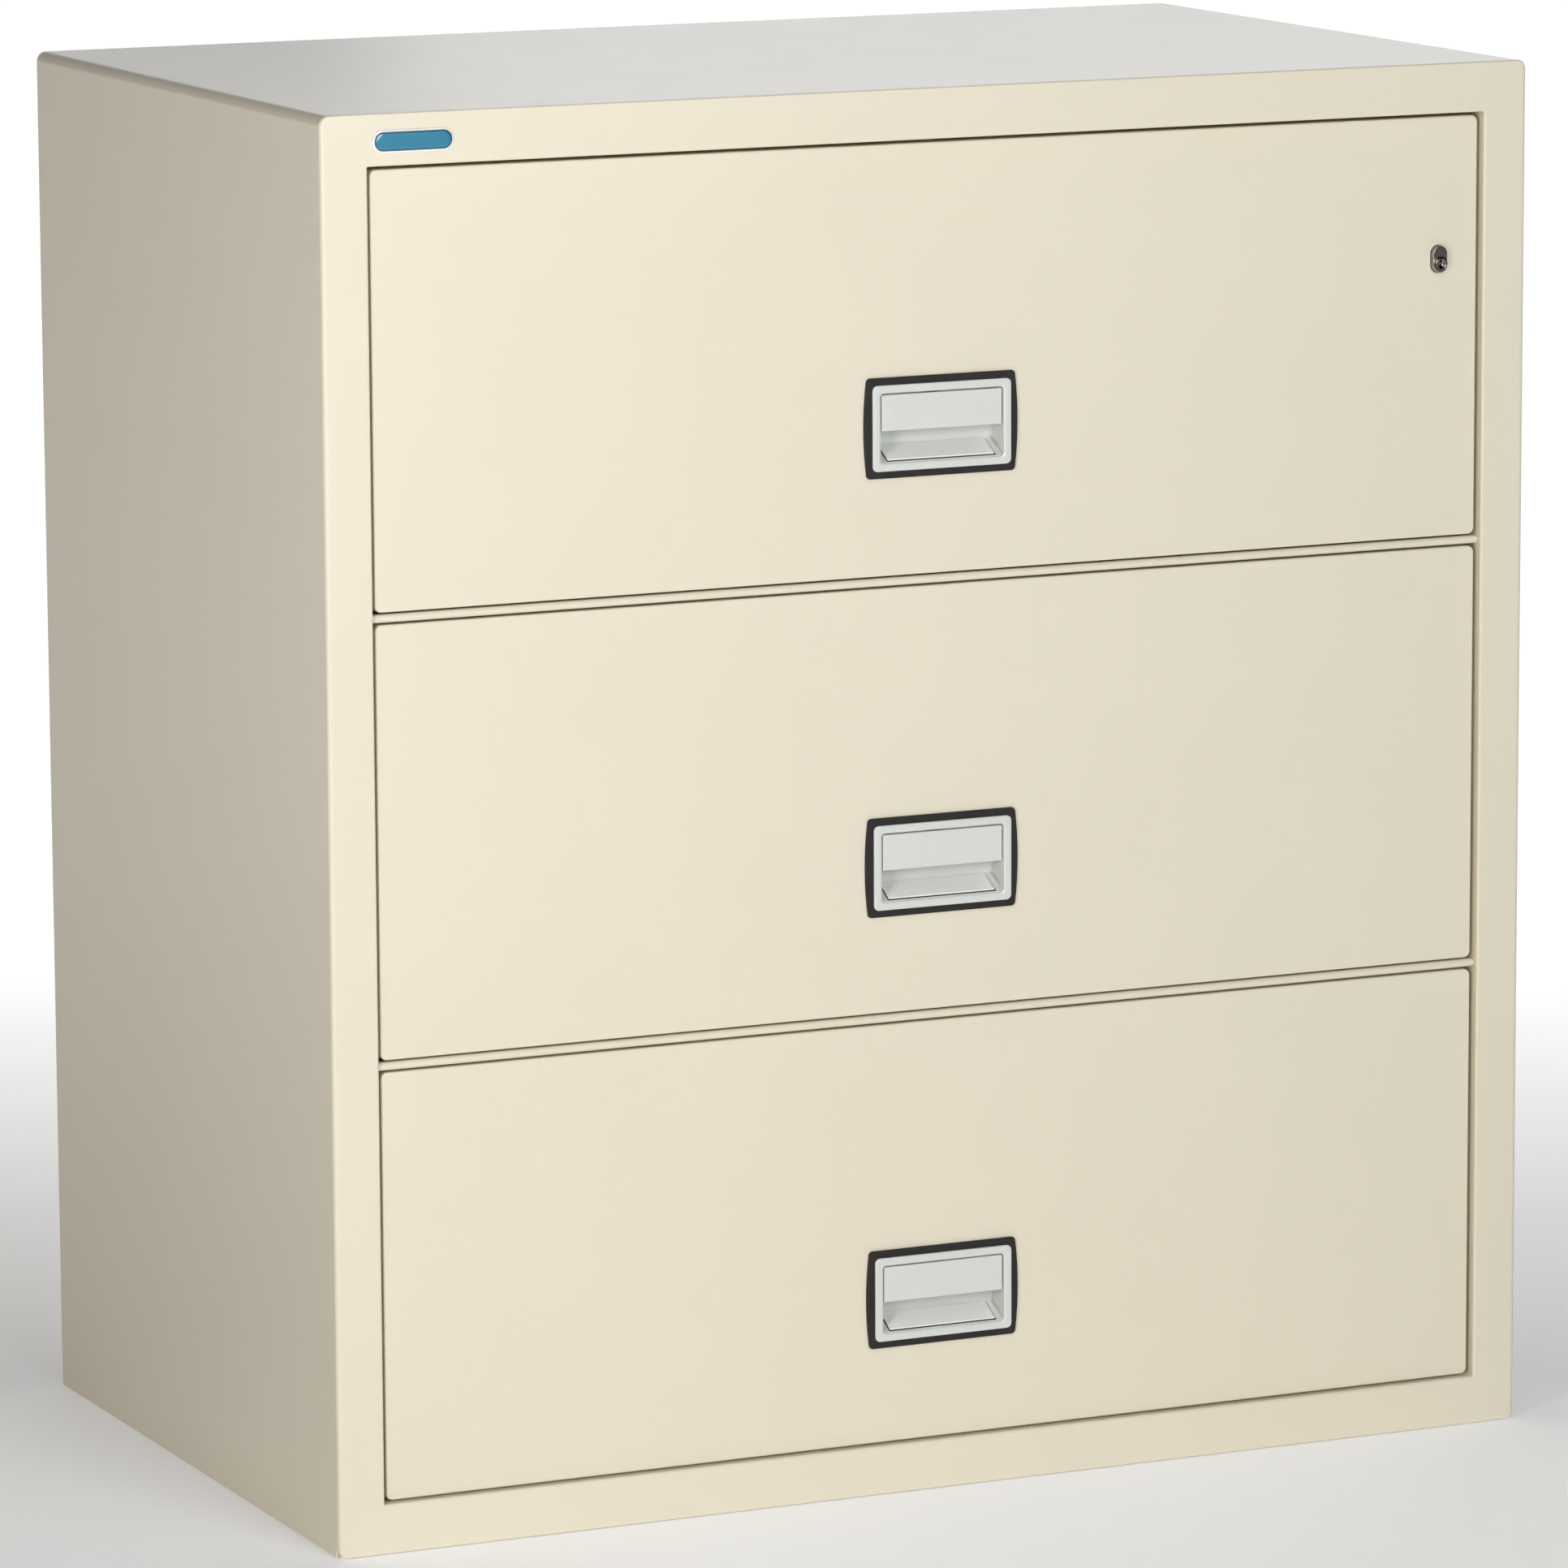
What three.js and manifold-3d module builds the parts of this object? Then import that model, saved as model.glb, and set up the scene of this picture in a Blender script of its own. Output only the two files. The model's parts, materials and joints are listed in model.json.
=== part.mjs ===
// A three-drawer fire-resistant lateral filing cabinet, in millimetres.
// The frame: +X to the right, +Y towards the back, +Z up, with the origin at the middle of the footprint.
// Everything is first placed in "face" coordinates, where y = 0 is the plane of the front frame and y
// grows inwards; one group then moves the whole cabinet so that the footprint is centred on the origin.
import * as THREE from "three";
import { mergeVertices } from "three/addons/utils/BufferGeometryUtils.js";
import Module from "manifold-3d";

const wasm = await Module();
wasm.setup();

// ---------------------------------------------------------------- driving dimensions
const WIDTH = 975; // outside of the steel shell
const HEIGHT = 1050;
const DEPTH = 590; // front frame to back panel, without the badge
const GAP = 0.3; // air between pieces that touch
const SHELL = 1.5; // outer sheet
const LINER = 1; // inner sheet
const PAN = 1.3; // drawer head skin
const OUTER_BEND = 7.5; // round of the outer shell's corners, seen from the front

const OPENING_HALF_WIDTH = 451.5; // the one large opening in the front frame
const OPENING_BOTTOM = 37;
const OPENING_TOP = 1012.4;
const REBATE_DEPTH = 82; // where the opening steps in to the narrower liner
const CAVITY_HALF_WIDTH = 425; // inside of the liner
const CAVITY_BOTTOM = 56;
const CAVITY_TOP = 994;
const CAVITY_BACK = 529;

const DRAWERS = 3;
const PITCH = 326.7; // from one drawer to the next
const FIRST_HEAD = 38.6; // bottom edge of the lowest drawer head
const HEAD_HALF_WIDTH = 448.2;
const HEAD_HEIGHT = 317.6;
const HEAD_RECESS = 5; // drawer face behind the front frame
const HEAD_BACK = 65;
const HEAD_CORNER = 5;

const RAIL_HEIGHT = 6; // nose of the rail between two drawer heads
const RAIL_WEB = 2.4;
const RAIL_FRONT = 4.4;
const RAIL_NOSE_DEPTH = 7;
const RAIL_DEPTH = 64;
const SHELF_THICKNESS = 40;
const SHELF_SHEET = 1;

const TRAY_HALF_WIDTH = 404;
const TRAY_SHEET = 1.2;
const TRAY_BOTTOM = 26; // above the head's bottom edge
const TRAY_TOP = 282;
const TRAY_BACK = 508;
const TRAY_LIP = 11;
const SLIDE_Z = 92; // centre line of the slides, above the head's bottom edge
// The channels of a slide: x of the web's outer face and of the flanges' edge, then height, sheet and depth.
const SLIDES = {
  outer: { web: CAVITY_HALF_WIDTH - GAP, flange: 412.5, halfHeight: 27, sheet: 1.7, front: 86, back: 526 },
  middle: { web: 421, flange: 409.5, halfHeight: 22.5, sheet: 1.5, front: 88, back: 508 },
  inner: { web: TRAY_HALF_WIDTH + GAP, flange: 416, halfHeight: 18, sheet: 1.5, front: 84, back: 506 },
};

const HANDLE_Z = 109.8; // centre of the handle, above the head's bottom edge
const BEZEL = { width: 121, height: 74.4, corner: 3, bow: 2, front: 2.6 }; // its two ends bow outwards
const RING = { width: 112.6, height: 63.6, corner: 4, front: 0.6 };
const CUP = { width: 99.6, height: 51.2, corner: 2.5, wall: 2, front: 0.7, back: 21 }; // inside of the cup
const CUP_SLOPE = { front: 2.4, rise: 11.6, lip: 0.6 }; // the cup's floor climbs towards its back
const FINGER_PAD = { halfWidth: 43.5, front: 3.6, back: 17.6, thickness: 1 }; // raised plate on that floor
const PADDLE = { height: 26.6, margin: 1, face: 1.8, thickness: 3.2, barrel: 2.6, pin: 1.5 };
const ARM_HALF_HEIGHT = 1.4; // of the arm behind the paddle's barrel

const LATCH = { halfWidth: 5, front: 24.5, back: 29.5, reach: 1 }; // flat rod, its tip just over the head
// The rod's foot, in heights from the paddle's hinge line: a hook under the arm, a stem, and a step forward.
const LATCH_FOOT = { bottom: -5, step: 7, stemTop: 9.4, stem: 2.4 };
const LATCH_CHANNEL = { halfWidth: 8, front: 18, back: 34 };
const STRIKE_MARGIN = 2;
const STRIKE_POCKET = 7;

const LOCK = { x: 415, z: 902.7, radius: 6, straight: 8.4, proud: 5, barrelBack: 36 };
const PLUG = { radius: 4.7, drop: 3.4, proud: 0.8, back: 27 };
const KEYWAY = { halfWidth: 0.8, halfHeight: 3.6, depth: 9 };
const TAIL_RADIUS = 4;
const TAIL_NOSE = 67; // where the tail's slanted end crosses its centre line
const LOCK_BAR = { left: 430, right: 446, front: 68.2, back: 71.2, bottom: 70, top: 990 };
const LUG = { x: 437.5, z: 210, halfWidth: 1.5, halfHeight: 10, reach: 13 }; // z above the head's bottom
const LUG_WINDOW = { side: 3, below: 2, above: 1.5 }; // room round a lug in the lock bar
const WEDGE = { halfWidth: 6, foot: 16, bridge: 10 }; // under the lock's tail, foot below the lock's centre
const GUIDE = { halfHeight: 9, front: 66.2, clearance: 0.4, wall: 1.6 };

const BADGE = { x: -416.8, z: 1030, length: 62.2, height: 16.3, thickness: 2.2, border: 1.4 };

const headBottom = (i) => FIRST_HEAD + i * PITCH;
const railCentre = (i) => headBottom(i) + HEAD_HEIGHT + (PITCH - HEAD_HEIGHT) / 2;
const FACE_Y = -(DEPTH - BADGE.thickness) / 2;

// ---------------------------------------------------------------- materials
const paint = new THREE.MeshStandardMaterial({ color: 0xe6dfcd, roughness: 0.45, metalness: 0.0 });
const linerPaint = new THREE.MeshStandardMaterial({ color: 0xd8d2c2, roughness: 0.55, metalness: 0.0 });
const gypsum = new THREE.MeshStandardMaterial({ color: 0xe9e6df, roughness: 0.95, metalness: 0.0 });
const zinc = new THREE.MeshStandardMaterial({ color: 0xb9bcc0, roughness: 0.35, metalness: 0.9 });
const silver = new THREE.MeshStandardMaterial({ color: 0xc9ccd0, roughness: 0.35, metalness: 0.1 });
const black = new THREE.MeshStandardMaterial({ color: 0x33322f, roughness: 0.6, metalness: 0.0 });
const chrome = new THREE.MeshStandardMaterial({ color: 0x9a9389, roughness: 0.2, metalness: 1.0 });
const enamel = new THREE.MeshStandardMaterial({ color: 0x2f86a6, roughness: 0.2, metalness: 0.0 });

// ---------------------------------------------------------------- solids
function solidOf(geometry) {
  const bare = new THREE.BufferGeometry();
  bare.setAttribute("position", geometry.getAttribute("position"));
  if (geometry.index) bare.setIndex(geometry.index);
  const merged = mergeVertices(bare, 1e-4);
  return new wasm.Manifold(
    new wasm.Mesh({
      numProp: 3,
      vertProperties: new Float32Array(merged.getAttribute("position").array),
      triVerts: new Uint32Array(merged.index.array),
    }),
  );
}

function geometryOf(solid) {
  const { vertProperties, triVerts } = solid.getMesh();
  const geometry = new THREE.BufferGeometry();
  geometry.setAttribute("position", new THREE.BufferAttribute(vertProperties, 3));
  geometry.setIndex(new THREE.BufferAttribute(triVerts, 1));
  geometry.computeVertexNormals();
  return geometry;
}

function box(x0, x1, y0, y1, z0, z1) {
  const geometry = new THREE.BoxGeometry(x1 - x0, y1 - y0, z1 - z0);
  geometry.translate((x0 + x1) / 2, (y0 + y1) / 2, (z0 + z1) / 2);
  return solidOf(geometry);
}

// A shape drawn in the X-Z plane, extruded from depth y0 to y1.
function plate(shape, y0, y1, curveSegments = 5) {
  const geometry = new THREE.ExtrudeGeometry(shape, { depth: y1 - y0, bevelEnabled: false, curveSegments });
  geometry.rotateX(Math.PI / 2);
  geometry.translate(0, y1, 0);
  return solidOf(geometry);
}

// A shape whose first axis is y and second is z, extruded across from x0 to x1.
function profile(shape, x0, x1, curveSegments = 5) {
  const geometry = new THREE.ExtrudeGeometry(shape, { depth: x1 - x0, bevelEnabled: false, curveSegments });
  geometry.applyMatrix4(new THREE.Matrix4().set(0, 0, 1, x0, 1, 0, 0, 0, 0, 1, 0, 0, 0, 0, 0, 1));
  return solidOf(geometry);
}

function cylinderAlongY(x, z, radius, y0, y1, segments = 24) {
  const geometry = new THREE.CylinderGeometry(radius, radius, y1 - y0, segments);
  geometry.translate(x, (y0 + y1) / 2, z);
  return solidOf(geometry);
}

function polygon(points) {
  return new THREE.Shape(points.map(([a, b]) => new THREE.Vector2(a, b)));
}

function roundedRect(cx, cz, width, height, r) {
  const shape = new THREE.Shape();
  const [x0, x1, z0, z1] = [cx - width / 2, cx + width / 2, cz - height / 2, cz + height / 2];
  shape.moveTo(x0 + r, z0);
  shape.lineTo(x1 - r, z0);
  shape.absarc(x1 - r, z0 + r, r, -Math.PI / 2, 0);
  shape.lineTo(x1, z1 - r);
  shape.absarc(x1 - r, z1 - r, r, 0, Math.PI / 2);
  shape.lineTo(x0 + r, z1);
  shape.absarc(x0 + r, z1 - r, r, Math.PI / 2, Math.PI);
  shape.lineTo(x0, z0 + r);
  shape.absarc(x0 + r, z0 + r, r, Math.PI, 1.5 * Math.PI);
  return shape;
}

// An upright obround: two half circles joined by straight sides.
function obround(cx, cz, radius, straight) {
  const shape = new THREE.Shape();
  shape.moveTo(cx + radius, cz - straight / 2);
  shape.lineTo(cx + radius, cz + straight / 2);
  shape.absarc(cx, cz + straight / 2, radius, 0, Math.PI);
  shape.lineTo(cx - radius, cz - straight / 2);
  shape.absarc(cx, cz - straight / 2, radius, Math.PI, 2 * Math.PI);
  return shape;
}

function add(parent, name, solid, material) {
  const mesh = new THREE.Mesh(geometryOf(solid), material);
  mesh.name = name;
  parent.add(mesh);
  return mesh;
}

// ---------------------------------------------------------------- outer shell
const half = WIDTH / 2;

// Sides and top folded from one sheet, open at the front, back and bottom.
function outerWrap() {
  const inset = OUTER_BEND - SHELL;
  const shape = new THREE.Shape();
  shape.moveTo(-half, GAP);
  shape.lineTo(-half + SHELL, GAP);
  shape.lineTo(-half + SHELL, HEIGHT - OUTER_BEND);
  shape.absarc(-half + OUTER_BEND, HEIGHT - OUTER_BEND, inset, Math.PI, Math.PI / 2, true);
  shape.lineTo(half - OUTER_BEND, HEIGHT - SHELL);
  shape.absarc(half - OUTER_BEND, HEIGHT - OUTER_BEND, inset, Math.PI / 2, 0, true);
  shape.lineTo(half - SHELL, GAP);
  shape.lineTo(half, GAP);
  shape.lineTo(half, HEIGHT - OUTER_BEND);
  shape.absarc(half - OUTER_BEND, HEIGHT - OUTER_BEND, OUTER_BEND, 0, Math.PI / 2);
  shape.lineTo(-half + OUTER_BEND, HEIGHT);
  shape.absarc(-half + OUTER_BEND, HEIGHT - OUTER_BEND, OUTER_BEND, Math.PI / 2, Math.PI);
  return plate(shape, SHELL + GAP, DEPTH - SHELL - GAP);
}

function backPanel() {
  return plate(roundedRect(0, HEIGHT / 2, WIDTH, HEIGHT, OUTER_BEND), DEPTH - SHELL, DEPTH);
}

function basePanel() {
  const edge = half - SHELL - GAP;
  return box(-edge, edge, SHELL + GAP, DEPTH - SHELL - GAP, 0, SHELL);
}

// A slot round the latch rod, cut through whatever lies between two heights.
function strikeSlot(z0, z1) {
  const side = LATCH.halfWidth + STRIKE_MARGIN;
  return box(-side, side, LATCH.front - STRIKE_MARGIN, LATCH.back + STRIKE_MARGIN, z0, z1);
}

// A flat frame round one large opening, with a flange that lines the rebate behind it.
function faceFrame() {
  const [w, b, t] = [OPENING_HALF_WIDTH, OPENING_BOTTOM, OPENING_TOP];
  const sheet = plate(roundedRect(0, HEIGHT / 2, WIDTH, HEIGHT, OUTER_BEND), 0, SHELL);
  const flange = box(-w - SHELL, w + SHELL, 0.5, REBATE_DEPTH - 2, b - SHELL, t + SHELL);
  const hole = box(-w, w, -1, REBATE_DEPTH, b, t);
  return sheet.add(flange).subtract(hole).subtract(strikeSlot(t - 1, t + SHELL + 1));
}

// Round-nosed rail between two drawer heads; a thin web behind the nose carries the latch strike.
function midRail(i) {
  const z = railCentre(i);
  const r = RAIL_HEIGHT / 2;
  const edge = OPENING_HALF_WIDTH - GAP;
  const noseBack = RAIL_FRONT + RAIL_NOSE_DEPTH;
  const shape = new THREE.Shape();
  shape.moveTo(noseBack, z + r);
  shape.lineTo(RAIL_FRONT + r, z + r);
  shape.absarc(RAIL_FRONT + r, z, r, Math.PI / 2, 1.5 * Math.PI);
  shape.lineTo(noseBack, z - r);
  shape.lineTo(noseBack, z - RAIL_WEB / 2);
  shape.lineTo(RAIL_DEPTH, z - RAIL_WEB / 2);
  shape.lineTo(RAIL_DEPTH, z + RAIL_WEB / 2);
  shape.lineTo(noseBack, z + RAIL_WEB / 2);
  return profile(shape, -edge, edge).subtract(strikeSlot(z - r, z + r));
}

// Pill-shaped domed plate on the face frame.
function badge() {
  const { x, z, length, height, thickness, border } = BADGE;
  const endRadius = height / 2 - 0.01;
  const pill = (inset) => roundedRect(x, z, length - 2 * inset, height - 2 * inset, endRadius - inset);
  const lower = plate(pill(0), -thickness / 2, -GAP / 2, 8);
  const dome = new THREE.ExtrudeGeometry(pill(border), {
    depth: GAP,
    bevelThickness: thickness / 2 - GAP / 2,
    bevelSize: border,
    bevelSegments: 3,
    curveSegments: 8,
  });
  dome.rotateX(Math.PI / 2);
  dome.translate(0, (GAP - thickness) / 2, 0);
  const front = box(x - length, x + length, -2 * thickness, -GAP, z - height, z + height);
  return lower.add(solidOf(dome).intersect(front));
}

// ---------------------------------------------------------------- insulation, liner and shelves
// One poured block between the outer shell and the liner: a back, and four walls stepped behind the rebate.
function insulation() {
  const edge = half - SHELL - GAP;
  const [front, back] = [SHELL + GAP, DEPTH - SHELL - GAP];
  const [floor, roof] = [SHELL + GAP, HEIGHT - SHELL - GAP];
  const corner = OUTER_BEND - SHELL;
  const outline = new THREE.Shape();
  outline.moveTo(-edge, floor);
  outline.lineTo(edge, floor);
  outline.lineTo(edge, roof - corner);
  outline.absarc(edge - corner, roof - corner, corner, 0, Math.PI / 2);
  outline.absarc(-edge + corner, roof - corner, corner, Math.PI / 2, Math.PI);
  const rebate = OPENING_HALF_WIDTH + SHELL + GAP;
  const [rebateFloor, rebateRoof] = [OPENING_BOTTOM - SHELL - GAP, OPENING_TOP + SHELL + GAP];
  const cavity = CAVITY_HALF_WIDTH + LINER + GAP;
  const [cavityFloor, cavityRoof] = [CAVITY_BOTTOM - LINER - GAP, CAVITY_TOP + LINER + GAP];
  return plate(outline, front, back)
    .subtract(box(-rebate, rebate, 0, REBATE_DEPTH + GAP, rebateFloor, rebateRoof))
    .subtract(box(-cavity, cavity, 0, CAVITY_BACK + LINER + GAP, cavityFloor, cavityRoof))
    .subtract(strikeSlot(rebateRoof - 1, rebateRoof + STRIKE_POCKET));
}

// Five-sided sheet box, with a flange round its mouth that covers the step behind the drawer heads.
function innerLiner() {
  const [w, b, t] = [CAVITY_HALF_WIDTH, CAVITY_BOTTOM, CAVITY_TOP];
  const shell = box(-w - LINER, w + LINER, REBATE_DEPTH - LINER, CAVITY_BACK + LINER, b - LINER, t + LINER);
  const flangeEdge = OPENING_HALF_WIDTH - GAP;
  const flange = box(
    -flangeEdge, flangeEdge, REBATE_DEPTH - LINER, REBATE_DEPTH, OPENING_BOTTOM + GAP, OPENING_TOP - GAP,
  );
  return shell.add(flange).subtract(box(-w, w, 0, CAVITY_BACK, b, t));
}

// Insulated floor between two compartments: a sheet sleeve, open at its two ends, round a core.
function shelfBlock(i, inset, edge) {
  const [z, rise] = [railCentre(i), SHELF_THICKNESS / 2 - inset];
  return box(-edge, edge, REBATE_DEPTH + GAP + inset, CAVITY_BACK - GAP - inset, z - rise, z + rise);
}

function shelfSkin(i) {
  const edge = CAVITY_HALF_WIDTH - GAP;
  return shelfBlock(i, 0, edge).subtract(shelfBlock(i, SHELF_SHEET, edge + 1));
}

function shelfCore(i) {
  return shelfBlock(i, SHELF_SHEET + GAP, CAVITY_HALF_WIDTH - GAP);
}

// ---------------------------------------------------------------- telescopic slides
// One channel of a slide: a web with two flanges. Its side is 1 on the right and -1 on the left.
function slideChannel({ web, flange, halfHeight, sheet, front, back }, side) {
  const across = (a, b) => [Math.min(side * a, side * b), Math.max(side * a, side * b)];
  const [web0, web1] = across(web, web + Math.sign(flange - web) * sheet);
  const [flange0, flange1] = across(web, flange);
  return box(web0, web1, front, back, -halfHeight, halfHeight)
    .add(box(flange0, flange1, front, back, halfHeight - sheet, halfHeight))
    .add(box(flange0, flange1, front, back, -halfHeight, -halfHeight + sheet));
}

// ---------------------------------------------------------------- drawer heads and trays
const headCentre = HEAD_HEIGHT / 2;

// The block that the cup and its walls fill, with the gap round them.
function handleCutter(y0, y1) {
  const w = CUP.width / 2 + CUP.wall + GAP;
  const h = CUP.height / 2 + CUP.wall + GAP;
  return box(-w, w, y0, y1, HANDLE_Z - h, HANDLE_Z + h);
}

function lockCutter(headZ, clearance, y0, y1) {
  return plate(obround(LOCK.x, LOCK.z - headZ, LOCK.radius + clearance, LOCK.straight), y0, y1);
}

// Folded pan: the painted face and its four returned edges.
function drawerFront(headZ, hasLock) {
  const [w, h] = [2 * HEAD_HALF_WIDTH, HEAD_HEIGHT];
  let pan = plate(roundedRect(0, headCentre, w, h, HEAD_CORNER), HEAD_RECESS, HEAD_BACK, 4);
  const inner = HEAD_CORNER - PAN;
  pan = pan.subtract(
    plate(roundedRect(0, headCentre, w - 2 * PAN, h - 2 * PAN, inner), HEAD_RECESS + PAN, HEAD_BACK + 1, 4),
  );
  const [front, back] = [HEAD_RECESS - 1, HEAD_RECESS + PAN + 1];
  pan = pan.subtract(handleCutter(front, back)).subtract(strikeSlot(h - 2 * PAN, h + 1));
  return hasLock ? pan.subtract(lockCutter(headZ, 0.4, front, back)) : pan;
}

// Insulating block inside the head, with a pocket for the handle and a channel for the latch rod.
function drawerCore(headZ, hasLock) {
  const side = HEAD_HALF_WIDTH - PAN - GAP;
  const [front, back] = [HEAD_RECESS + PAN + GAP, HEAD_BACK - PAN - 2 * GAP];
  const [bottom, top] = [PAN + GAP, HEAD_HEIGHT - PAN - GAP];
  const corner = HEAD_CORNER - PAN;
  const block = roundedRect(0, (bottom + top) / 2, 2 * side, top - bottom, corner);
  const { halfWidth, front: channelFront, back: channelBack } = LATCH_CHANNEL;
  const core = plate(block, front, back, 3)
    .subtract(handleCutter(0, CUP.back + CUP.wall + GAP))
    .subtract(box(-halfWidth, halfWidth, channelFront, channelBack, HANDLE_Z, HEAD_HEIGHT));
  return hasLock ? core.subtract(lockCutter(headZ, 1, 0, HEAD_BACK)) : core;
}

// Steel cover on the back of the head. Its lug passes through the lock bar, which drops into the lug's notch.
function headPlate(headZ, hasLock) {
  const side = HEAD_HALF_WIDTH - PAN - GAP;
  const [y0, y1] = [HEAD_BACK - PAN - GAP, HEAD_BACK - GAP];
  const [left, right] = [LUG.x - LUG.halfWidth, LUG.x + LUG.halfWidth];
  const [bottom, top] = [LUG.z - LUG.halfHeight, LUG.z + LUG.halfHeight];
  const notch = box(left - 1, right + 1, LOCK_BAR.front - 1, LOCK_BAR.back + 1, LUG.z + 1, top + 1);
  const lug = box(left, right, y0 + 0.5, HEAD_BACK + LUG.reach, bottom, top).subtract(notch);
  const cover = roundedRect(0, headCentre, 2 * side, HEAD_HEIGHT - 2 * PAN - 2 * GAP, HEAD_CORNER - PAN);
  const whole = plate(cover, y0, y1, 3).add(lug);
  if (!hasLock) return whole;
  const tailHole = cylinderAlongY(LOCK.x, LOCK.z - headZ, TAIL_RADIUS + 1, HEAD_BACK - 5, HEAD_BACK + 5);
  return whole.subtract(tailHole);
}

// Open-topped tray with lips turned in along its side walls, which hanging files ride on.
function tray() {
  const [w, t] = [TRAY_HALF_WIDTH, TRAY_SHEET];
  const [front, back] = [HEAD_BACK, TRAY_BACK];
  const body = box(-w, w, front, back, TRAY_BOTTOM, TRAY_TOP)
    .subtract(box(-w + t, w - t, front + t, back - t, TRAY_BOTTOM + t, TRAY_TOP + 1));
  const lip = (x0, x1) => box(x0, x1, front + t / 2, back - t / 2, TRAY_TOP - t, TRAY_TOP);
  return body.add(lip(-w + t / 2, -w + TRAY_LIP)).add(lip(w - TRAY_LIP, w - t / 2));
}

// ---------------------------------------------------------------- handle
// Black surround whose two ends bow outwards.
function bezel() {
  const [x, r] = [BEZEL.width / 2, BEZEL.corner];
  const [bottom, top] = [HANDLE_Z - BEZEL.height / 2, HANDLE_Z + BEZEL.height / 2];
  const bow = x + 2 * BEZEL.bow;
  const shape = new THREE.Shape();
  shape.moveTo(-x + r, bottom);
  shape.lineTo(x - r, bottom);
  shape.quadraticCurveTo(x, bottom, x, bottom + r);
  shape.quadraticCurveTo(bow, HANDLE_Z, x, top - r);
  shape.quadraticCurveTo(x, top, x - r, top);
  shape.lineTo(-x + r, top);
  shape.quadraticCurveTo(-x, top, -x, top - r);
  shape.quadraticCurveTo(-bow, HANDLE_Z, -x, bottom + r);
  shape.quadraticCurveTo(-x, bottom, -x + r, bottom);
  return plate(shape, BEZEL.front, HEAD_RECESS - GAP, 6).subtract(handleCutter(0, HEAD_RECESS + 1));
}

const PIVOT = {
  y: PADDLE.face + PADDLE.barrel,
  z: HANDLE_Z + CUP.height / 2 - PADDLE.margin - PADDLE.barrel,
};

// Moulded cup: a raised ring round its mouth, four walls, a back with a slot for the paddle's arm, and a
// floor that climbs towards the back under a raised plate for the fingers.
function handleHousing() {
  const [w, h] = [CUP.width / 2, CUP.height / 2];
  const mouth = roundedRect(0, HANDLE_Z, RING.width, RING.height, RING.corner);
  const ring = plate(mouth, RING.front, BEZEL.front - GAP);
  const [wall, back] = [CUP.wall, CUP.back + CUP.wall];
  const block = box(-w - wall, w + wall, CUP.front, back, HANDLE_Z - h - wall, HANDLE_Z + h + wall);
  const hollow = plate(roundedRect(0, HANDLE_Z, CUP.width, CUP.height, CUP.corner), 0, CUP.back);
  const armEdge = LATCH.halfWidth + 1;
  const armSlot = box(-armEdge, armEdge, CUP.back - 1, back + 1, PIVOT.z - 10, PIVOT.z + 3);
  const floor = HANDLE_Z - h;
  const { front, rise, lip } = CUP_SLOPE;
  const slope = profile(
    polygon([[front, floor - 1], [back - 0.5, floor - 1], [back - 0.5, floor + rise], [front, floor + lip]]),
    -w - 1, w + 1,
  );
  const pinHoles = trunnion(w + wall + 1, GAP);
  return ring
    .add(block)
    .subtract(hollow)
    .subtract(armSlot)
    .subtract(pinHoles)
    .add(slope)
    .add(fingerPad(floor));
}

// The round bar on the paddle's hinge line, with a clearance where it is a hole.
function trunnion(edge, clearance) {
  const circle = new THREE.Shape();
  circle.absarc(PIVOT.y, PIVOT.z, PADDLE.pin + clearance, 0, 2 * Math.PI);
  return profile(circle, -edge, edge, 8);
}

// A plate that lies on the cup's sloping floor.
function fingerPad(floor) {
  const pad = FINGER_PAD;
  const pitch = (CUP_SLOPE.rise - CUP_SLOPE.lip) / (CUP.back + CUP.wall - 0.5 - CUP_SLOPE.front);
  const height = (y) => floor + CUP_SLOPE.lip + (y - CUP_SLOPE.front) * pitch;
  const shape = polygon([
    [pad.front, height(pad.front) - 1],
    [pad.back, height(pad.back) - 1],
    [pad.back, height(pad.back) + pad.thickness],
    [pad.front, height(pad.front) + pad.thickness],
  ]);
  return profile(shape, -pad.halfWidth, pad.halfWidth);
}

// Pull plate that hangs from a barrel along its top edge; an arm behind the barrel works the latch rod.
function paddle() {
  const side = CUP.width / 2 - PADDLE.margin;
  const r = PADDLE.barrel;
  const [front, back, bottom] = [PADDLE.face, PADDLE.face + PADDLE.thickness, PIVOT.z + r - PADDLE.height];
  const shape = new THREE.Shape();
  shape.moveTo(front, PIVOT.z);
  shape.absarc(PIVOT.y, PIVOT.z, r, Math.PI, 0, true);
  shape.lineTo(PIVOT.y + r, PIVOT.z - 2);
  shape.lineTo(back, PIVOT.z - 5);
  shape.lineTo(back, bottom);
  shape.lineTo(front, bottom);
  const [armBottom, armTop] = [PIVOT.z - ARM_HALF_HEIGHT, PIVOT.z + ARM_HALF_HEIGHT];
  const arm = box(-LATCH.halfWidth, LATCH.halfWidth, PIVOT.y + 1, LATCH.back, armBottom, armTop);
  return profile(shape, -side, side, 8).add(arm).add(trunnion(CUP.width / 2 + CUP.wall - GAP, 0));
}

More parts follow.
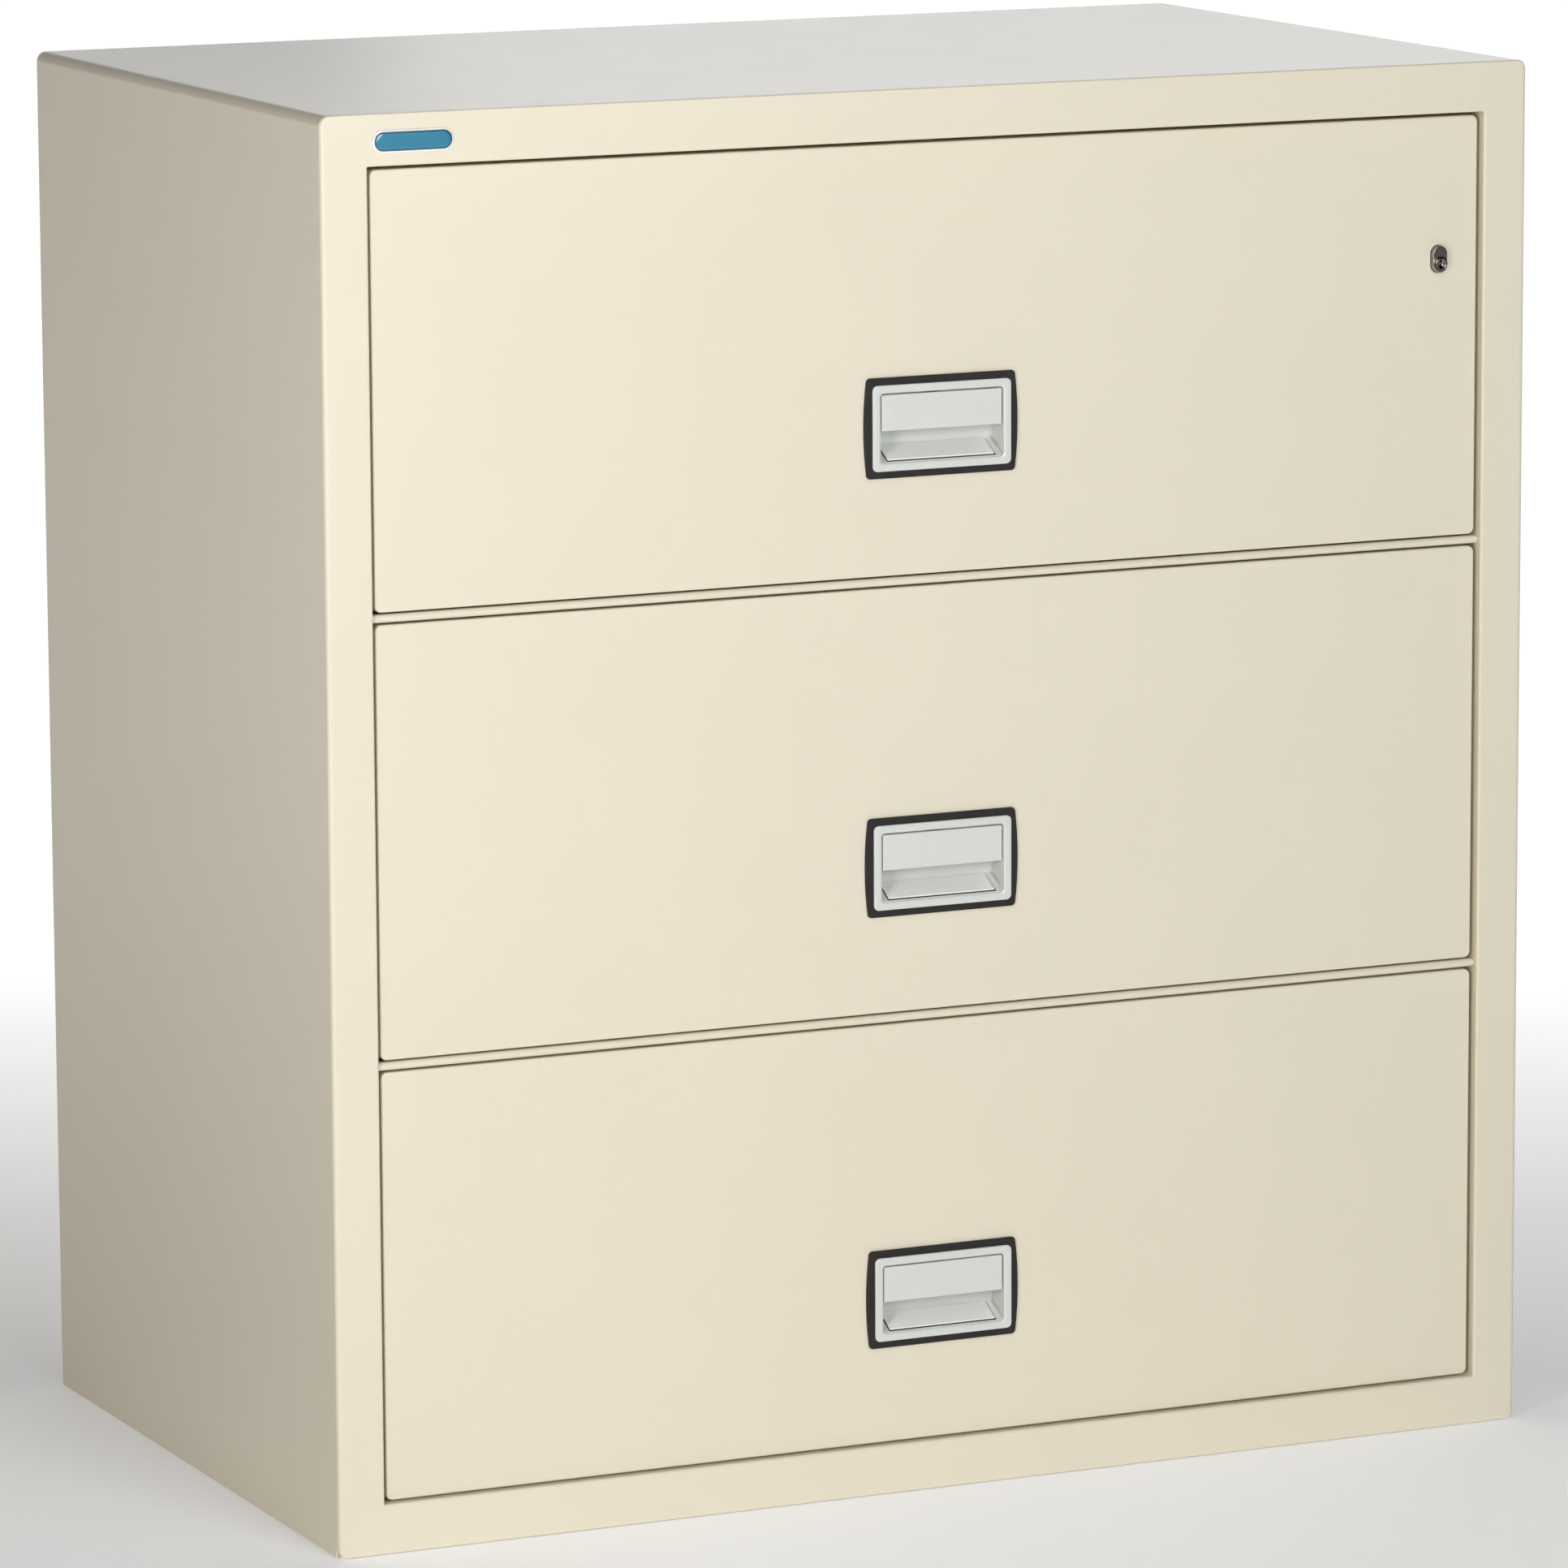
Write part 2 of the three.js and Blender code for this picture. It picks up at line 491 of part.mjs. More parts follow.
// Flat rod from the paddle's arm up to the strike over the head, with a hook that reaches under the arm.
function latchRod() {
  const { halfWidth, front, back, reach } = LATCH;
  const { bottom, step, stemTop, stem } = LATCH_FOOT;
  const [stemFront, stemBack] = [back + GAP, back + GAP + stem];
  const slab = (y0, y1, z0, z1) => box(-halfWidth, halfWidth, y0, y1, PIVOT.z + z0, PIVOT.z + z1);
  return slab(stemFront, stemBack, bottom, step + 1)
    .add(slab(front + 1, stemBack, bottom, -ARM_HALF_HEIGHT - GAP))
    .add(slab(front, stemBack, step, stemTop))
    .add(slab(front, back, step + 1, HEAD_HEIGHT + reach - PIVOT.z));
}

// ---------------------------------------------------------------- lock
// Obround push lock: pressed in, its slanted tail drives the lock bar down.
function lockPlunger(headZ) {
  const z = LOCK.z - headZ;
  const front = HEAD_RECESS - LOCK.proud;
  const barrel = plate(obround(LOCK.x, z, LOCK.radius, LOCK.straight), front, LOCK.barrelBack, 12);
  const reach = 20;
  const slant = polygon([
    [TAIL_NOSE - reach, z - reach],
    [TAIL_NOSE + reach, z - reach],
    [TAIL_NOSE + reach, z + reach],
  ]);
  const tail = cylinderAlongY(LOCK.x, z, TAIL_RADIUS, LOCK.barrelBack - 1, TAIL_NOSE + TAIL_RADIUS + 1)
    .subtract(profile(slant, LOCK.x - 2 * TAIL_RADIUS, LOCK.x + 2 * TAIL_RADIUS));
  const plugHole = cylinderAlongY(LOCK.x, z - PLUG.drop, PLUG.radius + GAP, front - 1, PLUG.back + 1, 28);
  return barrel.add(tail).subtract(plugHole);
}

// Key plug, which turns in the plunger.
function lockPlug(headZ) {
  const z = LOCK.z - headZ - PLUG.drop;
  const front = HEAD_RECESS - LOCK.proud - PLUG.proud;
  const { halfWidth, halfHeight, depth } = KEYWAY;
  const [left, right] = [LOCK.x - halfWidth, LOCK.x + halfWidth];
  const keyway = box(left, right, front - 1, front + depth, z - halfHeight, z + halfHeight);
  return cylinderAlongY(LOCK.x, z, PLUG.radius, front, PLUG.back, 28).subtract(keyway);
}

// Vertical bar behind the drawer heads, with a window for each lug and a wedge under the lock's tail.
function lockBar() {
  const { left, right, front, back, bottom, top } = LOCK_BAR;
  const windowSide = LUG.halfWidth + LUG_WINDOW.side;
  const windowBottom = LUG.halfHeight + LUG_WINDOW.below;
  const windowTop = LUG.halfHeight + LUG_WINDOW.above;
  let bar = box(left, right, front, back, bottom, top);
  for (let i = 0; i < DRAWERS; i += 1) {
    const z = headBottom(i) + LUG.z;
    const [x0, x1] = [LUG.x - windowSide, LUG.x + windowSide];
    bar = bar.subtract(box(x0, x1, front - 1, back + 1, z - windowBottom, z + windowTop));
  }
  const wedgeFront = HEAD_BACK + GAP;
  const slope = (y) => LOCK.z + y - TAIL_NOSE - 2 * GAP;
  const foot = LOCK.z - WEDGE.foot;
  const outline = polygon([
    [wedgeFront, foot],
    [back, foot],
    [back, slope(back)],
    [wedgeFront, slope(wedgeFront)],
  ]);
  const wedge = profile(outline, LOCK.x - WEDGE.halfWidth, LOCK.x + WEDGE.halfWidth);
  const bridge = box(LOCK.x, left + 1, front, back, foot, foot + WEDGE.bridge);
  return bar.add(wedge).add(bridge);
}

// Small U bracket on the liner's flange, which the lock bar slides through.
function lockBarGuide(z) {
  const { halfHeight, front, clearance, wall } = GUIDE;
  const { left, right, front: barFront, back: barBack } = LOCK_BAR;
  const back = REBATE_DEPTH - LINER - GAP;
  const [x0, x1] = [left - clearance, right + clearance];
  const slot = box(x0, x1, barFront - clearance, barBack + clearance, z - 2 * halfHeight, z + 2 * halfHeight);
  return box(x0 - wall, x1 + wall, front, back, z - halfHeight, z + halfHeight).subtract(slot);
}

// ---------------------------------------------------------------- assembly
const cabinet = new THREE.Group();
cabinet.position.y = FACE_Y;

add(cabinet, "outer_wrap", outerWrap(), paint);
add(cabinet, "back_panel", backPanel(), paint);
add(cabinet, "base_panel", basePanel(), paint);
add(cabinet, "face_frame", faceFrame(), paint);
add(cabinet, "badge", badge(), enamel);
add(cabinet, "insulation", insulation(), gypsum);
add(cabinet, "inner_liner", innerLiner(), linerPaint);
["lower", "upper"].forEach((level, i) => {
  add(cabinet, `mid_rail_${level}`, midRail(i), paint);
  add(cabinet, `shelf_${level}_skin`, shelfSkin(i), linerPaint);
  add(cabinet, `shelf_${level}_core`, shelfCore(i), gypsum);
});
add(cabinet, "lock_bar", lockBar(), zinc);
add(cabinet, "lock_bar_guide_lower", lockBarGuide(LOCK_BAR.bottom + 20), zinc);
add(cabinet, "lock_bar_guide_upper", lockBarGuide(LOCK_BAR.top - 20), zinc);

["bottom", "middle", "top"].forEach((level, i) => {
  const headZ = headBottom(i);
  const hasLock = level === "top";
  const drawer = new THREE.Group();
  drawer.position.z = headZ;
  cabinet.add(drawer);
  const name = (part) => `${level}_${part}`;
  add(drawer, name("drawer_front"), drawerFront(headZ, hasLock), paint);
  add(drawer, name("drawer_core"), drawerCore(headZ, hasLock), gypsum);
  add(drawer, name("head_plate"), headPlate(headZ, hasLock), paint);
  add(drawer, name("tray"), tray(), linerPaint);
  add(drawer, name("handle_bezel"), bezel(), black);
  add(drawer, name("handle_housing"), handleHousing(), silver);
  add(drawer, name("handle_paddle"), paddle(), silver);
  add(drawer, name("latch_rod"), latchRod(), zinc);
  for (const [sideName, side] of [["left", -1], ["right", 1]]) {
    const slides = new THREE.Group();
    slides.position.z = SLIDE_Z;
    drawer.add(slides);
    for (const [kind, sizes] of Object.entries(SLIDES)) {
      add(slides, `${level}_slide_${kind}_${sideName}`, slideChannel(sizes, side), zinc);
    }
  }
  if (hasLock) {
    add(drawer, "lock_plunger", lockPlunger(headZ), chrome);
    add(drawer, "lock_plug", lockPlug(headZ), chrome);
  }
});

const filingCabinet = new THREE.Group();
filingCabinet.add(cabinet);

export default filingCabinet;
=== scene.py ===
import json
import math

import bmesh
import bpy
from mathutils import Matrix, Vector

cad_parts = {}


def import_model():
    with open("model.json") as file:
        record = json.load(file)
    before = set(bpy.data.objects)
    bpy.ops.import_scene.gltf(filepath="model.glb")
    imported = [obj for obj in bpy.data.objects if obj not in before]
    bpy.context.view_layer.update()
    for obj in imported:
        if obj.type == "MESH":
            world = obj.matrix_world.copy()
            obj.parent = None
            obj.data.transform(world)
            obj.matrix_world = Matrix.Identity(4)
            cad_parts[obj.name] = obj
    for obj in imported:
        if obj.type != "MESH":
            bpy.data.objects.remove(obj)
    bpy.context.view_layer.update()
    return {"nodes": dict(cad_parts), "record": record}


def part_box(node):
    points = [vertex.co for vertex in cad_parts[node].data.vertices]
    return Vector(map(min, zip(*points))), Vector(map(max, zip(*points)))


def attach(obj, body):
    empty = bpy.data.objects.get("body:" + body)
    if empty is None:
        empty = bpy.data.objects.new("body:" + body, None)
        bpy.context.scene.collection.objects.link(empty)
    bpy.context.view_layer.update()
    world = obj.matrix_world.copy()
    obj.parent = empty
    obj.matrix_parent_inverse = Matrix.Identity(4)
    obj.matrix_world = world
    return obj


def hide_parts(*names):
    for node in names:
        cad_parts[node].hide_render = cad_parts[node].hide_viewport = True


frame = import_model()

# Looks of a three-drawer fire-resistant lateral filing cabinet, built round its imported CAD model.
# Sizes are in millimetres in "face" coordinates: x to the right, y inwards from the plane of the front
# frame, z up from the floor. place() turns them into the metres of the row frame.
MM = 0.001
LEVELS = ("bottom", "middle", "top")
SIDES = ("left", "right")


# ---------------------------------------------------------------- sizes taken from the frame
FACE_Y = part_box("face_frame")[0].y / MM


def node_box(node):
    """Lowest and highest corner of a CAD node, in face coordinates."""
    low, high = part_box(node)
    shift = Vector((0, FACE_Y, 0))
    return low / MM - shift, high / MM - shift


CASE_LOW, CASE_HIGH = node_box("face_frame")
WIDTH = CASE_HIGH.x - CASE_LOW.x
HEIGHT = CASE_HIGH.z - CASE_LOW.z
FRAME_BACK = CASE_HIGH.y
WRAP_BACK = node_box("outer_wrap")[1].y
PANEL_LOW, PANEL_HIGH = node_box("back_panel")
HEAD_LOW, HEAD_HIGH = node_box("bottom_drawer_front")
HEAD_WIDTH = HEAD_HIGH.x - HEAD_LOW.x
HEAD_HEIGHT = HEAD_HIGH.z - HEAD_LOW.z
HEAD_FACE = HEAD_LOW.y
HEAD_BACK = HEAD_HIGH.y
HEAD_Z = {level: node_box(f"{level}_drawer_front")[0].z for level in LEVELS}
HANDLE_Z = {
    level: sum(corner.z for corner in node_box(f"{level}_handle_bezel")) / 2 for level in LEVELS
}
LOCK_LOW, LOCK_HIGH = node_box("lock_plunger")
PLUG_LOW, PLUG_HIGH = node_box("lock_plug")
BADGE_LOW, BADGE_HIGH = node_box("badge")

# Sizes that only the looks need.
SHEET = 1.5
OUTER_CORNER = 7.5  # corners of the front frame, seen from the front
SIDE_BEND = 3.8  # bend from the frame into the case's sides
TOP_BEND = 1.2  # tighter bend at the top and bottom edges
RETURN = 6.0  # how far the bent edge runs back along the case
OPENING = {"width": 903.0, "bottom": 37.0, "top": 1012.4, "corner": 1.2, "bend": 1.8}
HEAD_CORNER = 5.0
HEAD_BEND = 1.4
HEAD_SHEET = 1.3
BEZEL = {"width": 121.0, "height": 74.4, "corner": 3.2, "bow": 2.0, "front": 2.6}
RING = {"width": 112.6, "height": 63.6, "corner": 4.0, "front": 0.6}
CUP = {"width": 99.6, "height": 51.2, "corner": 2.5, "wall": 2.0, "back": 21.0, "room": 0.3}
PIVOT_RISE = 22.0  # hinge line above the middle of the handle


# ---------------------------------------------------------------- outlines
def quarter_turn(steps):
    """Angles from 0 to a right angle."""
    return [math.pi / 2 * step / steps for step in range(steps + 1)]


def outline(width, height, corner, bow=0.0, side_steps=8, corner_steps=8):
    """Closed outline round the origin, anticlockwise in x-z: a list of (x, z, normal x, normal z).

    Its two upright sides bulge outwards by bow at their middle.
    """
    half_w, half_h = width / 2, height / 2
    points = []
    for index in range(4):
        turn = index * math.pi / 2
        cos, sin = round(math.cos(turn)), round(math.sin(turn))
        along, across = (half_h, half_w) if index % 2 == 0 else (half_w, half_h)
        straight = along - corner
        swell = bow if index % 2 == 0 else 0.0
        for step in range(side_steps):
            t = -straight + 2 * straight * step / side_steps
            rise = swell * (1 - (t / straight) ** 2)
            slope = -2 * swell * t / straight**2
            scale = 1 / math.hypot(1, slope)
            local = (across + rise, t, scale, -slope * scale)
            points.append(turned(local, cos, sin))
        for step in range(corner_steps):
            angle = math.pi / 2 * step / corner_steps
            nx, nz = math.cos(angle), math.sin(angle)
            local = (across - corner + corner * nx, straight + corner * nz, nx, nz)
            points.append(turned(local, cos, sin))
    return points


def turned(point, cos, sin):
    """An outline's point and its normal, turned about the origin."""
    x, z, nx, nz = point
    return (cos * x - sin * z, sin * x + cos * z, cos * nx - sin * nz, sin * nx + cos * nz)


def obround(radius, straight, steps=16):
    """Upright obround round the origin: two half circles joined by straight sides."""
    points = []
    for half, rise in ((0, straight / 2), (1, -straight / 2)):
        for step in range(steps + 1):
            angle = math.pi * (half + step / steps)
            nx, nz = math.cos(angle), math.sin(angle)
            points.append((radius * nx, rise + radius * nz, nx, nz))
    return points


def circle(radius, steps=48):
    return obround(radius, 0.0, steps // 2)


def ring(shape, offset, y, centre=(0.0, 0.0)):
    """The outline moved outwards by offset, at depth y."""
    cx, cz = centre
    return [(cx + x + nx * offset, y, cz + z + nz * offset) for x, z, nx, nz in shape]


def profile_rings(shape, profile, y, centre):
    """One ring for each (offset, depth) of a profile, with the depths counted from y."""
    return [ring(shape, offset, y + depth, centre) for offset, depth in profile]


def bend(shape, radius, y, centre=(0.0, 0.0), steps=5):
    """Rings round a quarter turn that leads from the wall to the front plane at depth y."""
    rings = []
    for angle in quarter_turn(steps):
        inset = radius * (1 - math.cos(angle))
        depth = y + radius * (1 - math.sin(angle))
        rings.append(ring(shape, -inset, depth, centre))
    return rings


# ---------------------------------------------------------------- meshes
def place(point):
    """A point in face millimetres, in the metres of the row frame."""
    x, y, z = point
    return Vector((x * MM, (y + FACE_Y) * MM, z * MM))


def finish_mesh(bm, name, angle=32):
    """Turns a bmesh in metres into an object with crisp and soft edges told apart."""
    bmesh.ops.recalc_face_normals(bm, faces=bm.faces)
    mesh = bpy.data.meshes.new(name)
    bm.to_mesh(mesh)
    bm.free()
    mesh.polygons.foreach_set("use_smooth", [True] * len(mesh.polygons))
    mesh.set_sharp_from_angle(angle=math.radians(angle))
    obj = bpy.data.objects.new(name, mesh)
    bpy.context.scene.collection.objects.link(obj)
    return obj


def loft(bm, rings, closed=False):
    """Joins rings of equal length with quads, and caps the two ends unless the rings close on themselves."""
    rows = [[bm.verts.new(place(p)) for p in points] for points in rings]
    pairs = list(zip(rows, rows[1:]))
    if closed:
        pairs.append((rows[-1], rows[0]))
    for a, b in pairs:
        for i in range(len(a)):
            j = (i + 1) % len(a)
            bm.faces.new((a[i], a[j], b[j], b[i]))
    if not closed:
        bm.faces.new(rows[0])
        bm.faces.new(rows[-1])


def lofted(name, rings, closed=False, angle=32):
    bm = bmesh.new()
    loft(bm, rings, closed)
    return finish_mesh(bm, name, angle)


def extruded(bm, points, x0, x1):
    """A closed outline of (y, z) points extruded along x."""
    rows = [[(x, y, z) for y, z in points] for x in (x0, x1)]
    loft(bm, rows)


def apply_modifiers(obj):
    """Bakes an object's modifiers into its mesh."""
    graph = bpy.context.evaluated_depsgraph_get()
    mesh = bpy.data.meshes.new_from_object(obj.evaluated_get(graph))
    obj.modifiers.clear()
    obj.data = mesh
    return obj


def combine(obj, tool, operation):
    """Cuts the tool out of the object, or joins it on, and removes the tool."""
    modifier = obj.modifiers.new("combine", "BOOLEAN")
    modifier.operation = operation
    modifier.solver = "EXACT"
    modifier.object = tool
    bpy.context.view_layer.update()
    apply_modifiers(obj)
    bpy.data.objects.remove(tool)
    return obj


def soften(obj, width, segments=2, angle=35):
    """Rounds the sharp edges of a finished mesh and evens its shading."""
    modifier = obj.modifiers.new("bevel", "BEVEL")
    modifier.width = width * MM
    modifier.segments = segments
    modifier.limit_method = "ANGLE"
    modifier.angle_limit = math.radians(angle)
    modifier.harden_normals = True
    modifier.use_clamp_overlap = True
    bpy.context.view_layer.update()
    return apply_modifiers(obj)


def even_shading(obj):
    """Keeps large faces flat and lets their bends carry the change of normal."""
    modifier = obj.modifiers.new("weighted normals", "WEIGHTED_NORMAL")
    modifier.keep_sharp = True
    modifier.weight = 90
    bpy.context.view_layer.update()
    return apply_modifiers(obj)


def tool_box(x0, x1, y0, y1, z0, z1):
    """A box to cut out or join on."""
    bm = bmesh.new()
    extruded(bm, [(y0, z0), (y1, z0), (y1, z1), (y0, z1)], x0, x1)
    return finish_mesh(bm, "tool")


def refined_copy(node, name, width):
    """A copy of a CAD node's mesh with its flat faces merged and its edges rounded."""
    bm = bmesh.new()
    bm.from_mesh(frame["nodes"][node].data)
    bmesh.ops.remove_doubles(bm, verts=bm.verts, dist=1e-6)
    bmesh.ops.dissolve_limit(bm, angle_limit=math.radians(1), verts=bm.verts, edges=bm.edges)
    return soften(finish_mesh(bm, name), width)


def add_piece(obj, material, body, slot, *nodes):
    """Gives a piece its material and body, in place of the CAD nodes it stands for. The slot argument is not
    used.
    """
    if not obj.data.materials:
        obj.data.materials.append(material)
    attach(obj, body)
    if nodes:
        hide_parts(*nodes)


# ---------------------------------------------------------------- materials
class Nodes:
    """A material's shader nodes, with the few helpers that the materials below share."""

    def __init__(self, name, color, roughness, metallic=0.0, **sockets):
        self.material = bpy.data.materials.new(name)
        self.material.use_nodes = True
        self.tree = self.material.node_tree
        self.shader = self.tree.nodes["Principled BSDF"]
        self.shader.inputs["Base Color"].default_value = (*color, 1.0)
        self.shader.inputs["Roughness"].default_value = roughness
        self.shader.inputs["Metallic"].default_value = metallic
        for socket, value in sockets.items():
            self.shader.inputs[socket.replace("_", " ")].default_value = value
        self.place = self.tree.nodes.new("ShaderNodeTexCoord").outputs["Object"]
        self.normal = None

    def link(self, output, target):
        self.tree.links.new(output, target)

    def noise(self, scale, detail=2.0, stretch=(1, 1, 1)):
        """Value noise; scale is in features per metre."""
        mapping = self.tree.nodes.new("ShaderNodeMapping")
        mapping.inputs["Scale"].default_value = stretch
        self.link(self.place, mapping.inputs["Vector"])
        node = self.tree.nodes.new("ShaderNodeTexNoise")
        node.inputs["Scale"].default_value = scale
        node.inputs["Detail"].default_value = detail
        self.link(mapping.outputs["Vector"], node.inputs["Vector"])
        return node.outputs["Fac"]

    def ramp(self, value, low, high, start=0.3, end=0.7):
        """Maps a noise value to the range low to high."""
        node = self.tree.nodes.new("ShaderNodeMapRange")
        node.inputs["From Min"].default_value = start
        node.inputs["From Max"].default_value = end
        node.inputs["To Min"].default_value = low
        node.inputs["To Max"].default_value = high
        self.link(value, node.inputs["Value"])
        return node.outputs["Result"]

    def mix_color(self, factor, color_a, color_b):
        node = self.tree.nodes.new("ShaderNodeMix")
        node.data_type = "RGBA"
        node.inputs[6].default_value = (*color_a, 1.0)
        node.inputs[7].default_value = (*color_b, 1.0)
        self.link(factor, node.inputs[0])
        return node.outputs[2]

    def bump(self, height, distance, strength=1.0):
        """Adds a layer of relief; distance is in metres."""
        node = self.tree.nodes.new("ShaderNodeBump")
        node.inputs["Distance"].default_value = distance
        node.inputs["Strength"].default_value = strength
        self.link(height, node.inputs["Height"])
        if self.normal:
            self.link(self.normal, node.inputs["Normal"])
        self.normal = node.outputs["Normal"]
        self.link(self.normal, self.shader.inputs["Normal"])

    def vary_color(self, scale, color_a, color_b, detail=3.0):
        factor = self.ramp(self.noise(scale, detail), 0.0, 1.0)
        self.link(self.mix_color(factor, color_a, color_b), self.shader.inputs["Base Color"])

    def vary_roughness(self, scale, low, high, detail=3.0):
        self.link(self.ramp(self.noise(scale, detail), low, high), self.shader.inputs["Roughness"])


def scaled(color, factor):
    return tuple(c * factor for c in color)


def powder_coat(name, color, roughness):
    """Baked powder paint: a soft orange peel a few millimetres wide over a very fine grain."""
    m = Nodes(name, color, roughness, Specular_IOR_Level=0.5)
    m.vary_color(7.0, scaled(color, 0.992), scaled(color, 1.008))
    m.vary_roughness(18.0, roughness - 0.006, roughness + 0.006)
    m.bump(m.noise(260.0, 1.0), 0.00003)
    m.bump(m.noise(1500.0, 2.0), 0.000006)
    return m.material


def moulded_plastic(name, color, roughness, grain):
    """Injection-moulded plastic with a fine spark-eroded grain."""
    m = Nodes(name, color, roughness, Specular_IOR_Level=0.35)
    m.vary_color(40.0, scaled(color, 0.96), scaled(color, 1.04))
    m.vary_roughness(90.0, roughness - 0.04, roughness + 0.06)
    m.bump(m.noise(2200.0, 3.0), grain)
    return m.material


def silver_paint(name, color):
    """Silver-grey painted plastic with a faint metallic sparkle."""
    m = Nodes(name, color, 0.33, metallic=0.1)
    m.vary_color(3500.0, scaled(color, 0.95), scaled(color, 1.05))
    m.vary_roughness(60.0, 0.29, 0.4)
    m.bump(m.noise(1800.0, 2.0), 0.000008)
    return m.material


def zinc_plate():
    color = (0.60, 0.62, 0.65)
    m = Nodes("zinc_plate", color, 0.3, metallic=1.0)
    m.vary_color(25.0, scaled(color, 0.88), scaled(color, 1.08), detail=5.0)
    m.vary_roughness(40.0, 0.24, 0.42, detail=5.0)
    m.bump(m.noise(900.0, 3.0, stretch=(1.0, 0.04, 1.0)), 0.00001)
    return m.material


def chrome():
    color = (0.32, 0.275, 0.24)
    m = Nodes("lock_chrome", color, 0.12, metallic=1.0)
    m.vary_color(120.0, scaled(color, 0.9), scaled(color, 1.08))
    m.vary_roughness(400.0, 0.07, 0.18)
    m.bump(m.noise(2500.0, 2.0), 0.000003)
    return m.material


def enamel(name, color):
    """Printed colour under a clear domed resin."""
    m = Nodes(name, color, 0.35, Coat_Weight=1.0, Coat_Roughness=0.03)
    m.vary_color(300.0, scaled(color, 0.95), scaled(color, 1.05))
    return m.material


def gypsum():
    color = (0.78, 0.76, 0.70)
    m = Nodes("gypsum", color, 0.95)
    m.vary_color(60.0, scaled(color, 0.9), scaled(color, 1.04), detail=6.0)
    m.bump(m.noise(500.0, 6.0), 0.0002)
    return m.material


CREAM = (0.78, 0.705, 0.545)
PAINT = powder_coat("cabinet_paint", CREAM, 0.34)
LINER_PAINT = powder_coat("liner_paint", (0.66, 0.61, 0.49), 0.45)
SILVER = silver_paint("handle_silver", (0.70, 0.697, 0.645))
# Painted light: the finger plates get the housing's silver painted brighter, in place of the light that falls
# on their sloping floor.
SILVER_PAINTED_LIGHT = silver_paint("finger_plate", (0.95, 0.94, 0.88))
BLACK = moulded_plastic("handle_bezel", (0.016, 0.0135, 0.011), 0.55, 0.00004)
ZINC = zinc_plate()
CHROME = chrome()
BADGE_BLUE = enamel("badge_blue", (0.008, 0.19, 0.30))
BADGE_EDGE = enamel("badge_edge", (0.012, 0.085, 0.14))
BADGE_WHITE = enamel("badge_white", (0.86, 0.86, 0.84))
GYPSUM = gypsum()


# ---------------------------------------------------------------- case
CASE_CENTRE = (0.0, HEIGHT / 2)


def edge_bend(normal_x):
    """Bend radius at a point of the case's outline: wide at the sides, tight at the top and bottom."""
    return TOP_BEND + (SIDE_BEND - TOP_BEND) * normal_x**2


def case_edge_ring(shape, angle, inset=0.0):
    """A ring round the case's bent front edge: angle 0 is the side wall, a quarter turn the front plane."""
    points = []
    for x, z, nx, nz in shape:
        radius = edge_bend(nx)
        offset = -radius * (1 - math.cos(angle)) - inset * math.cos(angle)
        depth = radius * (1 - math.sin(angle)) + inset * math.sin(angle)
        points.append((x + nx * offset, depth, CASE_CENTRE[1] + z + nz * offset))
    return points


def front_frame():
    """Flat frame bent back at its outer edge, with lips bent inwards round the drawers' opening."""
    outer = outline(WIDTH, HEIGHT, OUTER_CORNER)
    height = OPENING["top"] - OPENING["bottom"]
    inner = outline(OPENING["width"], height, OPENING["corner"])
    middle = (0.0, (OPENING["top"] + OPENING["bottom"]) / 2)
    quarter = quarter_turn(6)
    lip = OPENING["bend"]
    rings = [ring(outer, -SHEET, RETURN, CASE_CENTRE), ring(outer, 0, RETURN, CASE_CENTRE)]
    rings += [case_edge_ring(outer, angle) for angle in quarter]
    rings += [
        ring(inner, lip * (1 - math.sin(a)), lip * (1 - math.cos(a)), middle) for a in quarter
    ]
    rings += [ring(inner, 0, FRAME_BACK, middle), ring(inner, SHEET, FRAME_BACK, middle)]
    rings += [ring(inner, SHEET, lip + SHEET, middle), ring(inner, lip + SHEET, SHEET, middle)]
    rings += [ring(outer, -SIDE_BEND - SHEET, SHEET, CASE_CENTRE)]
    obj = even_shading(lofted("front_frame", rings, closed=True))
    add_piece(obj, PAINT, "cabinet", "cabinet_paint", "face_frame")


def case_shell():
    """Sides and top folded from one sheet."""
    inner_corner = OUTER_CORNER - SHEET
    half, top = WIDTH / 2, HEIGHT
    bottom = node_box("outer_wrap")[0].z
    profile = [(-half, bottom)]
    for sign in (-1, 1):
        for turn in quarter_turn(8):
            angle = math.pi - turn if sign < 0 else math.pi / 2 - turn
            x = sign * (half - OUTER_CORNER) + OUTER_CORNER * math.cos(angle)
            profile.append((x, top - OUTER_CORNER + OUTER_CORNER * math.sin(angle)))
    profile += [(half, bottom), (half - SHEET, bottom)]
    for sign in (1, -1):
        for turn in quarter_turn(8):
            angle = turn if sign > 0 else math.pi / 2 + turn
            x = sign * (half - OUTER_CORNER) + inner_corner * math.cos(angle)
            profile.append((x, top - OUTER_CORNER + inner_corner * math.sin(angle)))
    profile.append((-half + SHEET, bottom))
    seam, edge = 0.1, 0.25
    bm = bmesh.new()
    loft(bm, [[(x, y, z) for x, z in profile] for y in (RETURN + seam, WRAP_BACK)])
    obj = even_shading(soften(finish_mesh(bm, "case_shell"), edge))
    add_piece(obj, PAINT, "cabinet", "cabinet_paint", "outer_wrap")


